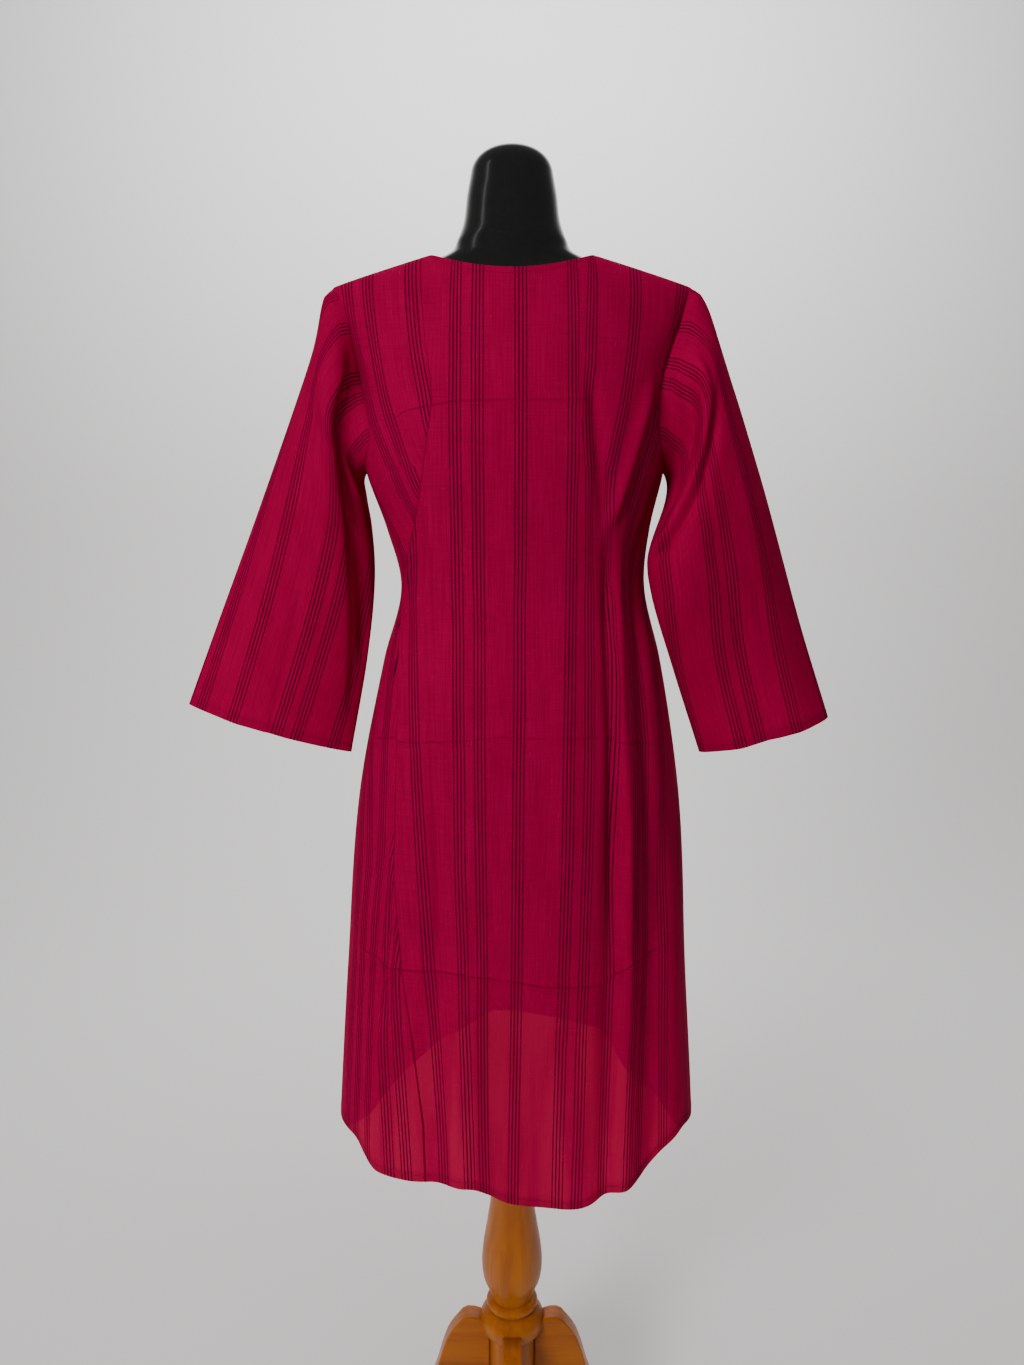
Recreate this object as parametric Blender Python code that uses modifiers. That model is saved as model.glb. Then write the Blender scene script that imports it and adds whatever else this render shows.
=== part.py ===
"""A long-sleeved kurta tunic on an armless dress form with a turned wooden stand.

Metres, +Z up. The origin is on the floor under the post. The tunic's back faces -Y.
Each cloth piece is a wall of even thickness. Its outer face is worked out from the
sections and folds below, and its inner face is the outer one moved in along the normal.
"""

import math
from collections import namedtuple

import bmesh
import bpy
import numpy as np
from mathutils import Matrix

# Cloth and seams
CLOTH = 0.0015
SEAM_GAP = 0.0003
ARMHOLE_GAP = 0.0005
LEFT, RIGHT = -1, 1
BACK, FRONT = -1, 1

# The tunic's driving sizes
Z_UNDERARM = 1.295
NECK_HALF = 0.089
TIP_HALF = 0.194
SHOULDER_SLOPE = 0.315
SHOULDER_TOP = 1.5511
SHOULDER_EASE = 0.035
NECK_SHARE = 0.40
NECK_DROP = {BACK: 0.023, FRONT: 0.150}
NECK_CURVE = {BACK: 1.8, FRONT: 1.0}
HEM_LEVEL = 0.48

# Grid of each panel: columns across, rows below and above the underarm
COLUMNS = 28
SKIRT_ROWS = 16
YOKE_ROWS = 10
SLEEVE_ROWS = 15

# Plan sections of the body, from the hem up: half-widths, depths and squareness
Section = namedtuple("Section", "z left right back front power")
BODY = [
    Section(0.440, 0.217, 0.226, 0.122, 0.126, 2.30),
    Section(0.504, 0.213, 0.223, 0.124, 0.126, 2.30),
    Section(0.720, 0.197, 0.208, 0.128, 0.120, 2.35),
    Section(0.940, 0.176, 0.193, 0.130, 0.116, 2.40),
    Section(1.080, 0.147, 0.170, 0.112, 0.108, 2.35),
    Section(1.170, 0.126, 0.150, 0.098, 0.102, 2.30),
    Section(1.230, 0.141, 0.155, 0.104, 0.113, 2.35),
    Section(1.295, 0.163, 0.169, 0.112, 0.123, 2.40),
    Section(1.390, 0.168, 0.173, 0.116, 0.124, 2.40),
    Section(1.489, 0.200, 0.200, 0.113, 0.110, 2.30),
    Section(1.560, 0.205, 0.205, 0.110, 0.106, 2.20),
]

# Half-width of the panels along the armhole, from the underarm (0) to the tip (1)
Armhole = namedtuple("Armhole", "up left right")
ARMHOLE = [
    Armhole(0.00, 0.163, 0.169),
    Armhole(0.12, 0.154, 0.160),
    Armhole(0.32, 0.157, 0.1585),
    Armhole(0.46, 0.163, 0.160),
    Armhole(0.62, 0.169, 0.169),
    Armhole(0.80, 0.177, 0.182),
    Armhole(1.00, 0.194, 0.194),
]

# Height of each hem at places across it
Hem = namedtuple("Hem", "x z")
HEM_BACK = [
    Hem(-0.2165, 0.518),
    Hem(-0.200, 0.520),
    Hem(-0.183, 0.517),
    Hem(-0.172, 0.506),
    Hem(-0.160, 0.494),
    Hem(-0.145, 0.489),
    Hem(-0.104, 0.486),
    Hem(-0.062, 0.4895),
    Hem(-0.044, 0.489),
    Hem(-0.027, 0.480),
    Hem(-0.009, 0.469),
    Hem(0.010, 0.463),
    Hem(0.045, 0.457),
    Hem(0.080, 0.457),
    Hem(0.111, 0.469),
    Hem(0.147, 0.482),
    Hem(0.166, 0.495),
    Hem(0.181, 0.513),
    Hem(0.198, 0.525),
    Hem(0.224, 0.520),
]
HEM_FRONT = [
    Hem(-0.2165, 0.518),
    Hem(-0.170, 0.512),
    Hem(-0.135, 0.518),
    Hem(-0.100, 0.548),
    Hem(-0.060, 0.588),
    Hem(0.000, 0.597),
    Hem(0.060, 0.590),
    Hem(0.100, 0.560),
    Hem(0.135, 0.522),
    Hem(0.175, 0.514),
    Hem(0.224, 0.520),
]

# Long soft folds: where each starts and ends, how wide it is and how far it stands out
Fold = namedtuple("Fold", "panel x_top z_top x_low z_low width rise")
FOLDS = [
    Fold(BACK, -0.092, 1.440, -0.080, 1.000, 0.012, -0.0060),
    Fold(BACK, -0.105, 1.380, -0.098, 0.980, 0.018, 0.0050),
    Fold(BACK, -0.078, 0.980, -0.092, 0.430, 0.018, -0.0060),
    Fold(BACK, 0.080, 1.360, 0.108, 0.980, 0.014, -0.0055),
    Fold(BACK, 0.108, 1.020, 0.112, 0.430, 0.016, -0.0070),
    Fold(BACK, 0.126, 1.060, 0.134, 0.430, 0.016, 0.0060),
    Fold(BACK, -0.050, 0.760, -0.055, 0.430, 0.022, 0.0090),
    Fold(BACK, 0.030, 0.720, 0.035, 0.430, 0.030, -0.0050),
    Fold(BACK, -0.150, 0.900, -0.160, 0.430, 0.022, 0.0060),
    Fold(FRONT, -0.100, 1.300, -0.085, 0.900, 0.018, -0.0060),
    Fold(FRONT, 0.070, 1.260, 0.090, 0.880, 0.016, -0.0060),
    Fold(FRONT, -0.060, 1.000, -0.070, 0.480, 0.022, -0.0070),
    Fold(FRONT, 0.020, 0.940, 0.015, 0.480, 0.026, 0.0070),
    Fold(FRONT, 0.110, 0.980, 0.125, 0.480, 0.020, -0.0080),
    Fold(FRONT, -0.140, 0.860, -0.150, 0.480, 0.022, 0.0070),
]

# Sleeve sections: outer and inner edge, half-depth, middle at each edge and squareness
Cuff = namedtuple("Cuff", "along x_out z_out x_in z_in depth y y_in power")
SLEEVE = {
    LEFT: [
        Cuff(0.09, 0.208, 1.446, 0.1660, 1.284, 0.058, 0.000, 0.000, 2.0),
        Cuff(0.24, 0.235, 1.378, 0.1640, 1.262, 0.058, 0.000, 0.000, 2.0),
        Cuff(0.40, 0.262, 1.310, 0.1590, 1.228, 0.055, 0.000, 0.000, 2.0),
        Cuff(0.58, 0.294, 1.230, 0.1570, 1.172, 0.051, 0.000, 0.000, 1.9),
        Cuff(0.78, 0.331, 1.138, 0.1660, 1.087, 0.043, -0.002, -0.002, 1.8),
        Cuff(1.00, 0.3755, 1.027, 0.1880, 0.970, 0.034, -0.004, -0.004, 1.7),
    ],
    RIGHT: [
        Cuff(0.09, 0.216, 1.452, 0.1730, 1.284, 0.058, 0.000, 0.000, 2.0),
        Cuff(0.24, 0.243, 1.382, 0.1710, 1.258, 0.058, -0.006, -0.020, 2.0),
        Cuff(0.40, 0.273, 1.292, 0.1490, 1.205, 0.053, -0.012, -0.055, 2.0),
        Cuff(0.58, 0.299, 1.212, 0.1520, 1.160, 0.049, -0.012, -0.055, 1.9),
        Cuff(0.78, 0.330, 1.118, 0.1820, 1.075, 0.042, -0.008, -0.020, 1.8),
        Cuff(1.00, 0.3680, 1.012, 0.2190, 0.970, 0.036, -0.004, -0.004, 1.7),
    ],
}

# Folds of the sleeves: start and end along, the turn there (0 is the outer edge, 90 the
# back, 180 the underarm, 270 the front), width in degrees and how far it stands out
Gather = namedtuple("Gather", "side a_top turn_top a_low turn_low width rise")
GATHERS = [
    Gather(LEFT, 0.02, 20, 0.42, 122, 22, 0.0055),
    Gather(LEFT, 0.08, 70, 0.40, 155, 22, -0.0050),
    Gather(RIGHT, 0.06, 15, 0.42, 150, 22, 0.0055),
    Gather(RIGHT, 0.08, 85, 0.34, 172, 22, -0.0050),
]

# The dress form, from its base up
Form = namedtuple("Form", "z half back front power")
FORM = [
    Form(0.8000, 0.138, 0.092, 0.080, 2.2),
    Form(0.8060, 0.150, 0.102, 0.088, 2.2),
    Form(0.8400, 0.155, 0.110, 0.093, 2.2),
    Form(0.9300, 0.160, 0.118, 0.098, 2.2),
    Form(1.0200, 0.145, 0.104, 0.094, 2.2),
    Form(1.1000, 0.125, 0.090, 0.088, 2.2),
    Form(1.1650, 0.115, 0.084, 0.086, 2.2),
    Form(1.2300, 0.128, 0.092, 0.102, 2.2),
    Form(1.2900, 0.146, 0.102, 0.116, 2.2),
    Form(1.3600, 0.143, 0.106, 0.108, 2.2),
    Form(1.4300, 0.158, 0.094, 0.090, 2.1),
    Form(1.4700, 0.172, 0.074, 0.066, 1.9),
    Form(1.4870, 0.168, 0.062, 0.052, 1.7),
    Form(1.5000, 0.134, 0.056, 0.042, 1.6),
    Form(1.5100, 0.102, 0.052, 0.040, 1.6),
    Form(1.5230, 0.068, 0.050, 0.043, 1.9),
    Form(1.5370, 0.059, 0.051, 0.049, 2.0),
    Form(1.5490, 0.054, 0.049, 0.048, 2.0),
    Form(1.5850, 0.048, 0.046, 0.045, 2.0),
    Form(1.6100, 0.043, 0.041, 0.040, 2.0),
    Form(1.6240, 0.032, 0.031, 0.030, 2.0),
    Form(1.6310, 0.016, 0.016, 0.015, 2.0),
]
FORM_TOP = 1.633
FORM_SIDES = 36

# The turned post, from under the form down to the ring that it stands on
Turn = namedtuple("Turn", "z radius")
POST = [
    Turn(0.7997, 0.048),
    Turn(0.7870, 0.048),
    Turn(0.7800, 0.031),
    Turn(0.7600, 0.024),
    Turn(0.6800, 0.021),
    Turn(0.5600, 0.021),
    Turn(0.4700, 0.022),
    Turn(0.4200, 0.0245),
    Turn(0.3840, 0.0275),
    Turn(0.3500, 0.0325),
    Turn(0.3200, 0.0372),
    Turn(0.2960, 0.0385),
    Turn(0.2740, 0.0352),
    Turn(0.2580, 0.0282),
    Turn(0.2490, 0.0262),
    Turn(0.2450, 0.0310),
    Turn(0.2400, 0.0330),
    Turn(0.2372, 0.0315),
    Turn(0.2343, 0.0330),
]
POST_SIDES = 32
RING_Z = 0.2155
RING_HALF = 0.0182
RING_RADIUS = 0.0415
RING_STEPS = 8
HUB_TOP = 0.1970
HUB_BOTTOM = 0.1050
HUB_RADIUS = 0.0300
HUB_SIDES = 8
HUB_EDGE = 0.002

# Outline of one board leg: distance from the post's axis and height
LEG_THICK = 0.024
LEG_TOP = [
    (0.0425, 0.2180),
    (0.0500, 0.2230),
    (0.0610, 0.2225),
    (0.0700, 0.2130),
    (0.0820, 0.1960),
    (0.0900, 0.1750),
    (0.0990, 0.1430),
    (0.1120, 0.1100),
    (0.1350, 0.0750),
    (0.1700, 0.0450),
    (0.2050, 0.0290),
    (0.2300, 0.0220),
    (0.2400, 0.0120),
]
LEG_FOOT = [(0.2380, 0.0000), (0.1950, 0.0000)]
LEG_ARCH = [
    (0.1600, 0.0070),
    (0.1250, 0.0240),
    (0.1000, 0.0500),
    (0.0850, 0.0820),
    (0.0700, 0.1060),
    (0.0520, 0.1160),
    (0.0303, 0.1180),
]
LEG_STEP = [(0.0303, 0.1965), (0.0425, 0.1965)]

CLOTH_COLOR = (0.284, 0.002, 0.030)
FORM_COLOR = (0.006, 0.006, 0.006)
WOOD_COLOR = (0.30, 0.085, 0.006)


def read(table, column, at):
    """A table's column at any place, on a smooth curve through its rows."""
    places = np.array([row[0] for row in table])
    values = np.array([getattr(row, column) for row in table])
    slopes = np.gradient(values, places)
    at = np.clip(at, places[0], places[-1])
    i = np.clip(np.searchsorted(places, at) - 1, 0, len(places) - 2)
    step = places[i + 1] - places[i]
    t = (at - places[i]) / step
    start = (1 + 2 * t) * (1 - t) ** 2 * values[i] + t * (1 - t) ** 2 * step * slopes[i]
    end = t * t * (3 - 2 * t) * values[i + 1] + t * t * (t - 1) * step * slopes[i + 1]
    return start + end


def by_side(across, left, right):
    """The left value where across is negative, the right one elsewhere."""
    return np.where(across < 0, left, right)


def shoulder_line(x):
    """Height of the shoulder seam, carried on in a soft arch over the neck."""
    return SHOULDER_TOP - SHOULDER_SLOPE * np.sqrt(x * x + SHOULDER_EASE**2)


def top_edge(panel, across):
    """The neckline and shoulder seams, left to right, as x and z."""
    neck = np.clip(np.abs(across) / NECK_SHARE, 0, 1) * math.pi / 2
    shoulder = np.clip((np.abs(across) - NECK_SHARE) / (1 - NECK_SHARE), 0, 1)
    x = NECK_HALF * np.sin(neck) + (TIP_HALF - NECK_HALF) * shoulder
    x = np.sign(across) * x
    drop = NECK_DROP[panel] * np.clip(np.cos(neck), 0, 1) ** NECK_CURVE[panel]
    z = np.where(shoulder > 0, shoulder_line(x), shoulder_line(NECK_HALF) - drop)
    return x, z


def fold_rise(panel, x, z):
    """How far the long folds lift the cloth at each point."""
    rise = np.zeros_like(x)
    for fold in FOLDS:
        if fold.panel != panel:
            continue
        share = (fold.z_top - z) / (fold.z_top - fold.z_low)
        line = fold.x_top + (fold.x_low - fold.x_top) * share
        fade = np.clip(share * 4, 0, 1) * np.clip((1.15 - share) * 4, 0, 1)
        fade = fade * fade * (3 - 2 * fade)
        rise += fold.rise * fade * np.exp(-(((x - line) / fold.width) ** 2))
    return rise


def panel_grid(panel):
    """Outer face of the back or front: rows from the hem up, columns left to right."""
    across = np.linspace(-1, 1, COLUMNS + 1)[None, :]
    skirt = np.linspace(0, 1, SKIRT_ROWS + 1)[:-1, None]
    yoke = 0.5 - 0.5 * np.cos(np.linspace(0, math.pi, YOKE_ROWS + 1))[:, None]

    def ring_share(z):
        angle = np.abs(across) * math.pi / 2
        return np.sign(across) * np.sin(angle) ** (2 / read(BODY, "power", z))

    def half_width(z):
        return by_side(across, read(BODY, "left", z), read(BODY, "right", z))

    hem_table = HEM_BACK if panel == BACK else HEM_FRONT
    hem = read(hem_table, "z", half_width(HEM_LEVEL) * ring_share(HEM_LEVEL))
    skirt_z = hem + (Z_UNDERARM - hem) * skirt
    skirt_x = half_width(skirt_z) * ring_share(skirt_z)

    top_x, top_z = top_edge(panel, across)
    edge = by_side(across, read(ARMHOLE, "left", yoke), read(ARMHOLE, "right", yoke))
    blend = yoke * yoke * (3 - 2 * yoke)
    share = ring_share(Z_UNDERARM) * (1 - blend) + top_x / TIP_HALF * blend
    yoke_x = edge * share
    yoke_z = Z_UNDERARM + (top_z - Z_UNDERARM) * yoke

    x = np.vstack([skirt_x, yoke_x])
    z = np.vstack([skirt_z, yoke_z])
    depth = read(BODY, "back" if panel == BACK else "front", z)
    power = read(BODY, "power", z)
    half = half_width(z)
    round_in = np.clip(1 - (np.abs(x) / half) ** power, 0, 1) ** (1 / power)
    lift = np.clip((z - Z_UNDERARM) / (shoulder_line(x) - Z_UNDERARM), 0, 1)
    y = panel * depth * round_in * np.sqrt(1 - lift**2)

    out_x, out_y = x / half**2, y / depth**2
    length = np.hypot(out_x, out_y) + 1e-9
    rise = fold_rise(panel, x, z) * (1 - np.abs(across) ** 6) * (1 - lift**4)
    x = x + rise * out_x / length
    y = y + rise * out_y / length
    return np.stack([x, y, z], axis=-1)


def sleeve_grid(side, back, front):
    """Outer face of a sleeve: rows from the armhole to the cuff, around by the back."""
    column = 0 if side == LEFT else -1
    down_back = back[SKIRT_ROWS:, column][::-1]
    up_front = front[SKIRT_ROWS:, column][1:-1]
    armhole = np.vstack([down_back, up_front])
    turn = np.linspace(0, 2 * math.pi, 2 * YOKE_ROWS + 1)[:-1]
    rings = [armhole]
    for row in SLEEVE[side]:
        outward = np.sign(np.cos(turn)) * np.abs(np.cos(turn)) ** (2 / row.power)
        forward = -np.sign(np.sin(turn)) * np.abs(np.sin(turn)) ** (2 / row.power)
        x = (row.x_out + row.x_in) / 2 + outward * (row.x_out - row.x_in) / 2
        z = (row.z_out + row.z_in) / 2 + outward * (row.z_out - row.z_in) / 2
        middle = row.y + (row.y_in - row.y) * (1 - outward) / 2
        rings.append(np.stack([side * x, middle + forward * row.depth, z], axis=-1))
    places = np.array([0.0] + [row.along for row in SLEEVE[side]])
    rings = np.array(rings)
    slopes = np.gradient(rings, places, axis=0)
    grid = []
    along = np.linspace(0, 1, SLEEVE_ROWS + 1) ** 1.15
    for at in along:
        i = min(np.searchsorted(places, at, side="right") - 1, len(places) - 2)
        step = places[i + 1] - places[i]
        t = (at - places[i]) / step
        grid.append(
            (1 + 2 * t) * (1 - t) ** 2 * rings[i]
            + t * (1 - t) ** 2 * step * slopes[i]
            + t * t * (3 - 2 * t) * rings[i + 1]
            + t * t * (t - 1) * step * slopes[i + 1]
        )
    grid = np.array(grid)
    middle = grid.mean(axis=1, keepdims=True)
    outward = grid - middle
    outward /= np.linalg.norm(outward, axis=-1, keepdims=True)
    return grid + outward * gather_rise(side, along[:, None], np.degrees(turn))[..., None]


def gather_rise(side, along, turn):
    """How far a sleeve's folds lift the cloth at each point."""
    rise = np.zeros(np.broadcast(along, turn).shape)
    for fold in GATHERS:
        if fold.side != side:
            continue
        share = (along - fold.a_top) / (fold.a_low - fold.a_top)
        line = fold.turn_top + (fold.turn_low - fold.turn_top) * share
        off = (turn - line + 180) % 360 - 180
        fade = np.clip(share * 4, 0, 1) * np.clip((1.15 - share) * 4, 0, 1)
        rise += fold.rise * fade * np.exp(-((off / fold.width) ** 2))
    return rise


def grid_faces(rows, columns, around):
    """Quads of a grid of points, closed around its columns where asked."""
    last = columns if around else columns - 1
    faces = []
    for i in range(rows - 1):
        for j in range(last):
            k = (j + 1) % columns
            low, high = i * columns, (i + 1) * columns
            faces.append((low + j, low + k, high + k, high + j))
    return faces


def shared_normals(grids):
    """Outward normals of all the cloth, averaged where pieces meet at a seam."""
    totals = {}
    for grid, around, outward, piece in grids:
        points = grid.reshape(-1, 3)
        for face in grid_faces(grid.shape[0], grid.shape[1], around):
            a, b, c, d = points[list(face)]
            normal = np.cross(c - a, d - b) * outward
            for corner in face:
                spot = totals.setdefault(place_key(points[corner]), {})
                spot[piece] = spot.get(piece, 0) + normal
    normals = []
    for grid, _, _, _ in grids:
        found = []
        for point in grid.reshape(-1, 3):
            met = totals[place_key(point)].values()
            found.append(sum(normal / np.linalg.norm(normal) for normal in met))
        found = np.array(found)
        found /= np.linalg.norm(found, axis=1)[:, None]
        normals.append(found.reshape(grid.shape))
    return normals


def place_key(point):
    """A point rounded to a hundredth of a millimetre, to find it again."""
    return tuple(np.round(point, 5))


def pull_back(points, toward):
    """Move an edge's points half a seam gap toward the next points in."""
    step = toward - points
    return points + step / np.linalg.norm(step, axis=-1)[..., None] * SEAM_GAP / 2


def trim_panel(grid):
    """Open the side, armhole and shoulder seams of a panel's grid."""
    trimmed = grid.copy()
    trimmed[:, 0] = pull_back(grid[:, 0], grid[:, 1])
    trimmed[:, -1] = pull_back(grid[:, -1], grid[:, -2])
    trimmed[-1] = pull_back(trimmed[-1], trimmed[-2])
    return trimmed


def material(name, color, roughness, metallic=0.0):
    """A plain Principled BSDF material."""
    mat = bpy.data.materials.new(name)
    mat.use_nodes = True
    shader = mat.node_tree.nodes["Principled BSDF"]
    shader.inputs["Base Color"].default_value = (*color, 1.0)
    shader.inputs["Roughness"].default_value = roughness
    shader.inputs["Metallic"].default_value = metallic
    mat.diffuse_color = (*color, 1.0)
    return mat


def put(name, mesh, collection, mat):
    """Make a smooth-shaded object of a mesh."""
    mesh.materials.clear()
    mesh.materials.append(mat)
    mesh.shade_smooth()
    mesh.set_sharp_from_angle(angle=math.radians(35))
    item = bpy.data.objects.new(name, mesh)
    collection.objects.link(item)
    return item


def cloth_wall(name, outer, normals, around, collection, mat):
    """A closed wall: the outer grid, the inner one and the strips between their edges."""
    rows, columns = outer.shape[:2]
    inner = outer - normals * CLOTH
    points = np.vstack([outer.reshape(-1, 3), inner.reshape(-1, 3)])
    faces = grid_faces(rows, columns, around)
    shift = rows * columns
    faces += [tuple(shift + corner for corner in reversed(face)) for face in faces]
    if around:
        loops = [[i * columns + j for j in range(columns)] for i in (0, rows - 1)]
    else:
        bottom = list(range(columns))
        right = [i * columns + columns - 1 for i in range(1, rows)]
        top = [(rows - 1) * columns + j for j in range(columns - 2, -1, -1)]
        left = [i * columns for i in range(rows - 2, 0, -1)]
        loops = [bottom + right + top + left]
    for loop in loops:
        for here, after in zip(loop, loop[1:] + loop[:1]):
            faces.append((here, after, shift + after, shift + here))
    mesh = bpy.data.meshes.new(name)
    mesh.from_pydata(points.tolist(), [], faces)
    close_mesh(mesh)
    return put(name, mesh, collection, mat)


def close_mesh(mesh):
    """Turn every face of a closed mesh outward."""
    shape = bmesh.new()
    shape.from_mesh(mesh)
    bmesh.ops.recalc_face_normals(shape, faces=shape.faces)
    shape.to_mesh(mesh)
    shape.free()
    mesh.update()


def part_sleeve(grid, normals, side):
    """Move a sleeve's first ring away from the armhole, square to the wall."""
    ring = grid[0]
    tangent = np.roll(ring, -1, axis=0) - np.roll(ring, 1, axis=0)
    away = np.cross(tangent, normals[0])
    away *= np.sign(away[:, :1] * side) / np.linalg.norm(away, axis=1)[:, None]
    parted = grid.copy()
    parted[0] = ring + away * ARMHOLE_GAP
    return parted


def make_cloth(collection):
    """Back, front and two sleeves, parted by the seam gap."""
    mat = material("cloth_crimson", CLOTH_COLOR, 0.85)
    back, front = panel_grid(BACK), panel_grid(FRONT)
    left, right = sleeve_grid(LEFT, back, front), sleeve_grid(RIGHT, back, front)
    normals = shared_normals([
        (back, False, 1, "body"),
        (front, False, -1, "body"),
        (left, True, -1, "left"),
        (right, True, 1, "right"),
    ])
    left = part_sleeve(left, normals[2], LEFT)
    right = part_sleeve(right, normals[3], RIGHT)
    cloth_wall("kurta_back", trim_panel(back), normals[0], False, collection, mat)
    cloth_wall("kurta_front", trim_panel(front), normals[1], False, collection, mat)
    cloth_wall("sleeve_left", left, normals[2], True, collection, mat)
    cloth_wall("sleeve_right", right, normals[3], True, collection, mat)


def make_form(collection):
    """The armless form: shaped rings up to a domed neck."""
    points, faces = [(0, 0, FORM[0].z)], []
    turns = np.linspace(0, 2 * math.pi, FORM_SIDES + 1)[:-1]
    for row in FORM:
        for turn in turns:
            c, s = math.cos(turn), math.sin(turn)
            depth = row.front if s > 0 else row.back
            x = row.half * math.copysign(abs(c) ** (2 / row.power), c)
            y = depth * math.copysign(abs(s) ** (2 / row.power), s)
            points.append((x, y, row.z))
    points.append((0, 0, FORM_TOP))
    for j in range(FORM_SIDES):
        k = (j + 1) % FORM_SIDES
        faces.append((0, 1 + k, 1 + j))
        for i in range(len(FORM) - 1):
            low, high = 1 + i * FORM_SIDES, 1 + (i + 1) * FORM_SIDES
            faces.append((low + j, low + k, high + k, high + j))
        last = 1 + (len(FORM) - 1) * FORM_SIDES
        faces.append((last + j, last + k, len(points) - 1))
    mesh = bpy.data.meshes.new("form_torso")
    mesh.from_pydata(points, [], faces)
    close_mesh(mesh)
    put("form_torso", mesh, collection, material("form_black", FORM_COLOR, 0.18))


def turned(name, profile, sides, collection, mat):
    """A solid of revolution about +Z from a profile that runs from the top down."""
    points = [(0, profile[0][0])] + [(radius, z) for z, radius in profile] + [(0, profile[-1][0])]
    mesh = bpy.data.meshes.new(name)
    edges = [(i, i + 1) for i in range(len(points) - 1)]
    mesh.from_pydata([(r, 0, z) for r, z in points], edges, [])
    item = bpy.data.objects.new(name, mesh)
    collection.objects.link(item)
    mesh.materials.append(mat)
    screw = item.modifiers.new("turn", "SCREW")
    screw.steps = sides
    screw.render_steps = sides
    screw.use_merge_vertices = True
    screw.merge_threshold = 0.0001
    return item


def make_stand(collection):
    """The turned post, the ring, the hub and four board legs."""
    wood = material("wood_amber", WOOD_COLOR, 0.35)
    turned("post", POST, POST_SIDES, collection, wood)
    angles = np.linspace(math.pi / 2 - 0.35, -math.pi / 2 + 0.35, RING_STEPS + 1)
    tube = RING_HALF / math.sin(angles[0])
    ring = [(RING_Z + tube * math.sin(a), RING_RADIUS - tube + tube * math.cos(a)) for a in angles]
    turned("ring", ring, POST_SIDES, collection, wood)
    shape = bmesh.new()
    bmesh.ops.create_cone(
        shape,
        cap_ends=True,
        segments=HUB_SIDES,
        radius1=HUB_RADIUS / math.cos(math.pi / HUB_SIDES),
        radius2=HUB_RADIUS / math.cos(math.pi / HUB_SIDES),
        depth=HUB_TOP - HUB_BOTTOM,
    )
    bmesh.ops.rotate(shape, verts=shape.verts, matrix=Matrix.Rotation(math.pi / HUB_SIDES, 3, "Z"))
    mesh = bpy.data.meshes.new("hub")
    shape.to_mesh(mesh)
    shape.free()
    hub = put("hub", mesh, collection, wood)
    hub.location.z = (HUB_TOP + HUB_BOTTOM) / 2
    bevel = hub.modifiers.new("edges", "BEVEL")
    bevel.width = HUB_EDGE
    leg_mesh = board_mesh(collection)
    for index in range(4):
        leg = put(f"leg_{index + 1}", leg_mesh.copy(), collection, wood)
        leg.rotation_euler.z = index * math.pi / 2


def board_mesh(collection):
    """One leg's mesh, standing in the XZ plane and pointing along +X."""
    outline = LEG_TOP + LEG_FOOT + LEG_ARCH + LEG_STEP
    curve = bpy.data.curves.new("leg_outline", "CURVE")
    curve.dimensions = "2D"
    curve.fill_mode = "BOTH"
    curve.extrude = LEG_THICK / 2
    spline = curve.splines.new("POLY")
    spline.points.add(len(outline) - 1)
    for point, (r, z) in zip(spline.points, outline):
        point.co = (r, z, 0, 1)
    spline.use_cyclic_u = True
    guide = bpy.data.objects.new("leg_outline", curve)
    collection.objects.link(guide)
    evaluated = guide.evaluated_get(bpy.context.evaluated_depsgraph_get())
    mesh = bpy.data.meshes.new_from_object(evaluated)
    bpy.data.objects.remove(guide)
    shape = bmesh.new()
    shape.from_mesh(mesh)
    bmesh.ops.remove_doubles(shape, verts=shape.verts, dist=0.0001)
    bmesh.ops.rotate(shape, verts=shape.verts, matrix=Matrix.Rotation(math.pi / 2, 3, "X"))
    bmesh.ops.recalc_face_normals(shape, faces=shape.faces)
    shape.to_mesh(mesh)
    shape.free()
    return mesh


def main():
    for item in list(bpy.data.objects):
        bpy.data.objects.remove(item, do_unlink=True)
    collection = bpy.data.collections.new("kurta_on_dress_form")
    bpy.context.scene.collection.children.link(collection)
    make_cloth(collection)
    make_form(collection)
    make_stand(collection)


main()
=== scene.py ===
"""Looks of a striped crimson kurta tunic on an armless dress form with a turned stand.

Metres, +Z up. The tunic's back faces -Y, toward the camera. Each cloth piece is one
grid of points with its cut's own coordinates as the UV map "Thread", in metres.
"""

import math
from collections import namedtuple
from functools import reduce

import bmesh
import bpy
import numpy as np
from mathutils import Matrix


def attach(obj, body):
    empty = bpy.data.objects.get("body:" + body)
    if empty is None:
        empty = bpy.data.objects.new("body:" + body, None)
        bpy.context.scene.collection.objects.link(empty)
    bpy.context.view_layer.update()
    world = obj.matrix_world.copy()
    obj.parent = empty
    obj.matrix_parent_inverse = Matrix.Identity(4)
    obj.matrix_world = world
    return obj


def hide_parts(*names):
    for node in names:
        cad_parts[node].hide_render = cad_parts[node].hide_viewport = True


LEFT, RIGHT = -1, 1
BACK, FRONT = -1, 1
MM = 0.001


def table(names, *rows):
    """Rows whose values have names."""
    kind = namedtuple("Row", names)
    return [kind(*row) for row in rows]


# The tunic's driving sizes
Z_UNDERARM = 1.295
NECK_HALF = 0.089
TIP_HALF = 0.194
SHOULDER_SLOPE = 0.315
SHOULDER_TOP = 1.5511
SHOULDER_EASE = 0.035
NECK_SHARE = 0.40
NECK_DROP = {BACK: 0.023, FRONT: 0.150}
NECK_CURVE = {BACK: 1.8, FRONT: 1.0}
HEM_LEVEL = 0.48

# Grids: columns on each side of the lapped fold, rows below and above the underarm,
# and how many small waves are laid over one another
LEFT_COLUMNS = 50
RIGHT_COLUMNS = 160
FRONT_COLUMNS = 130
SKIRT_ROWS = 220
YOKE_ROWS = 84
SLEEVE_ROWS = 150
WAVES = 26

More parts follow.
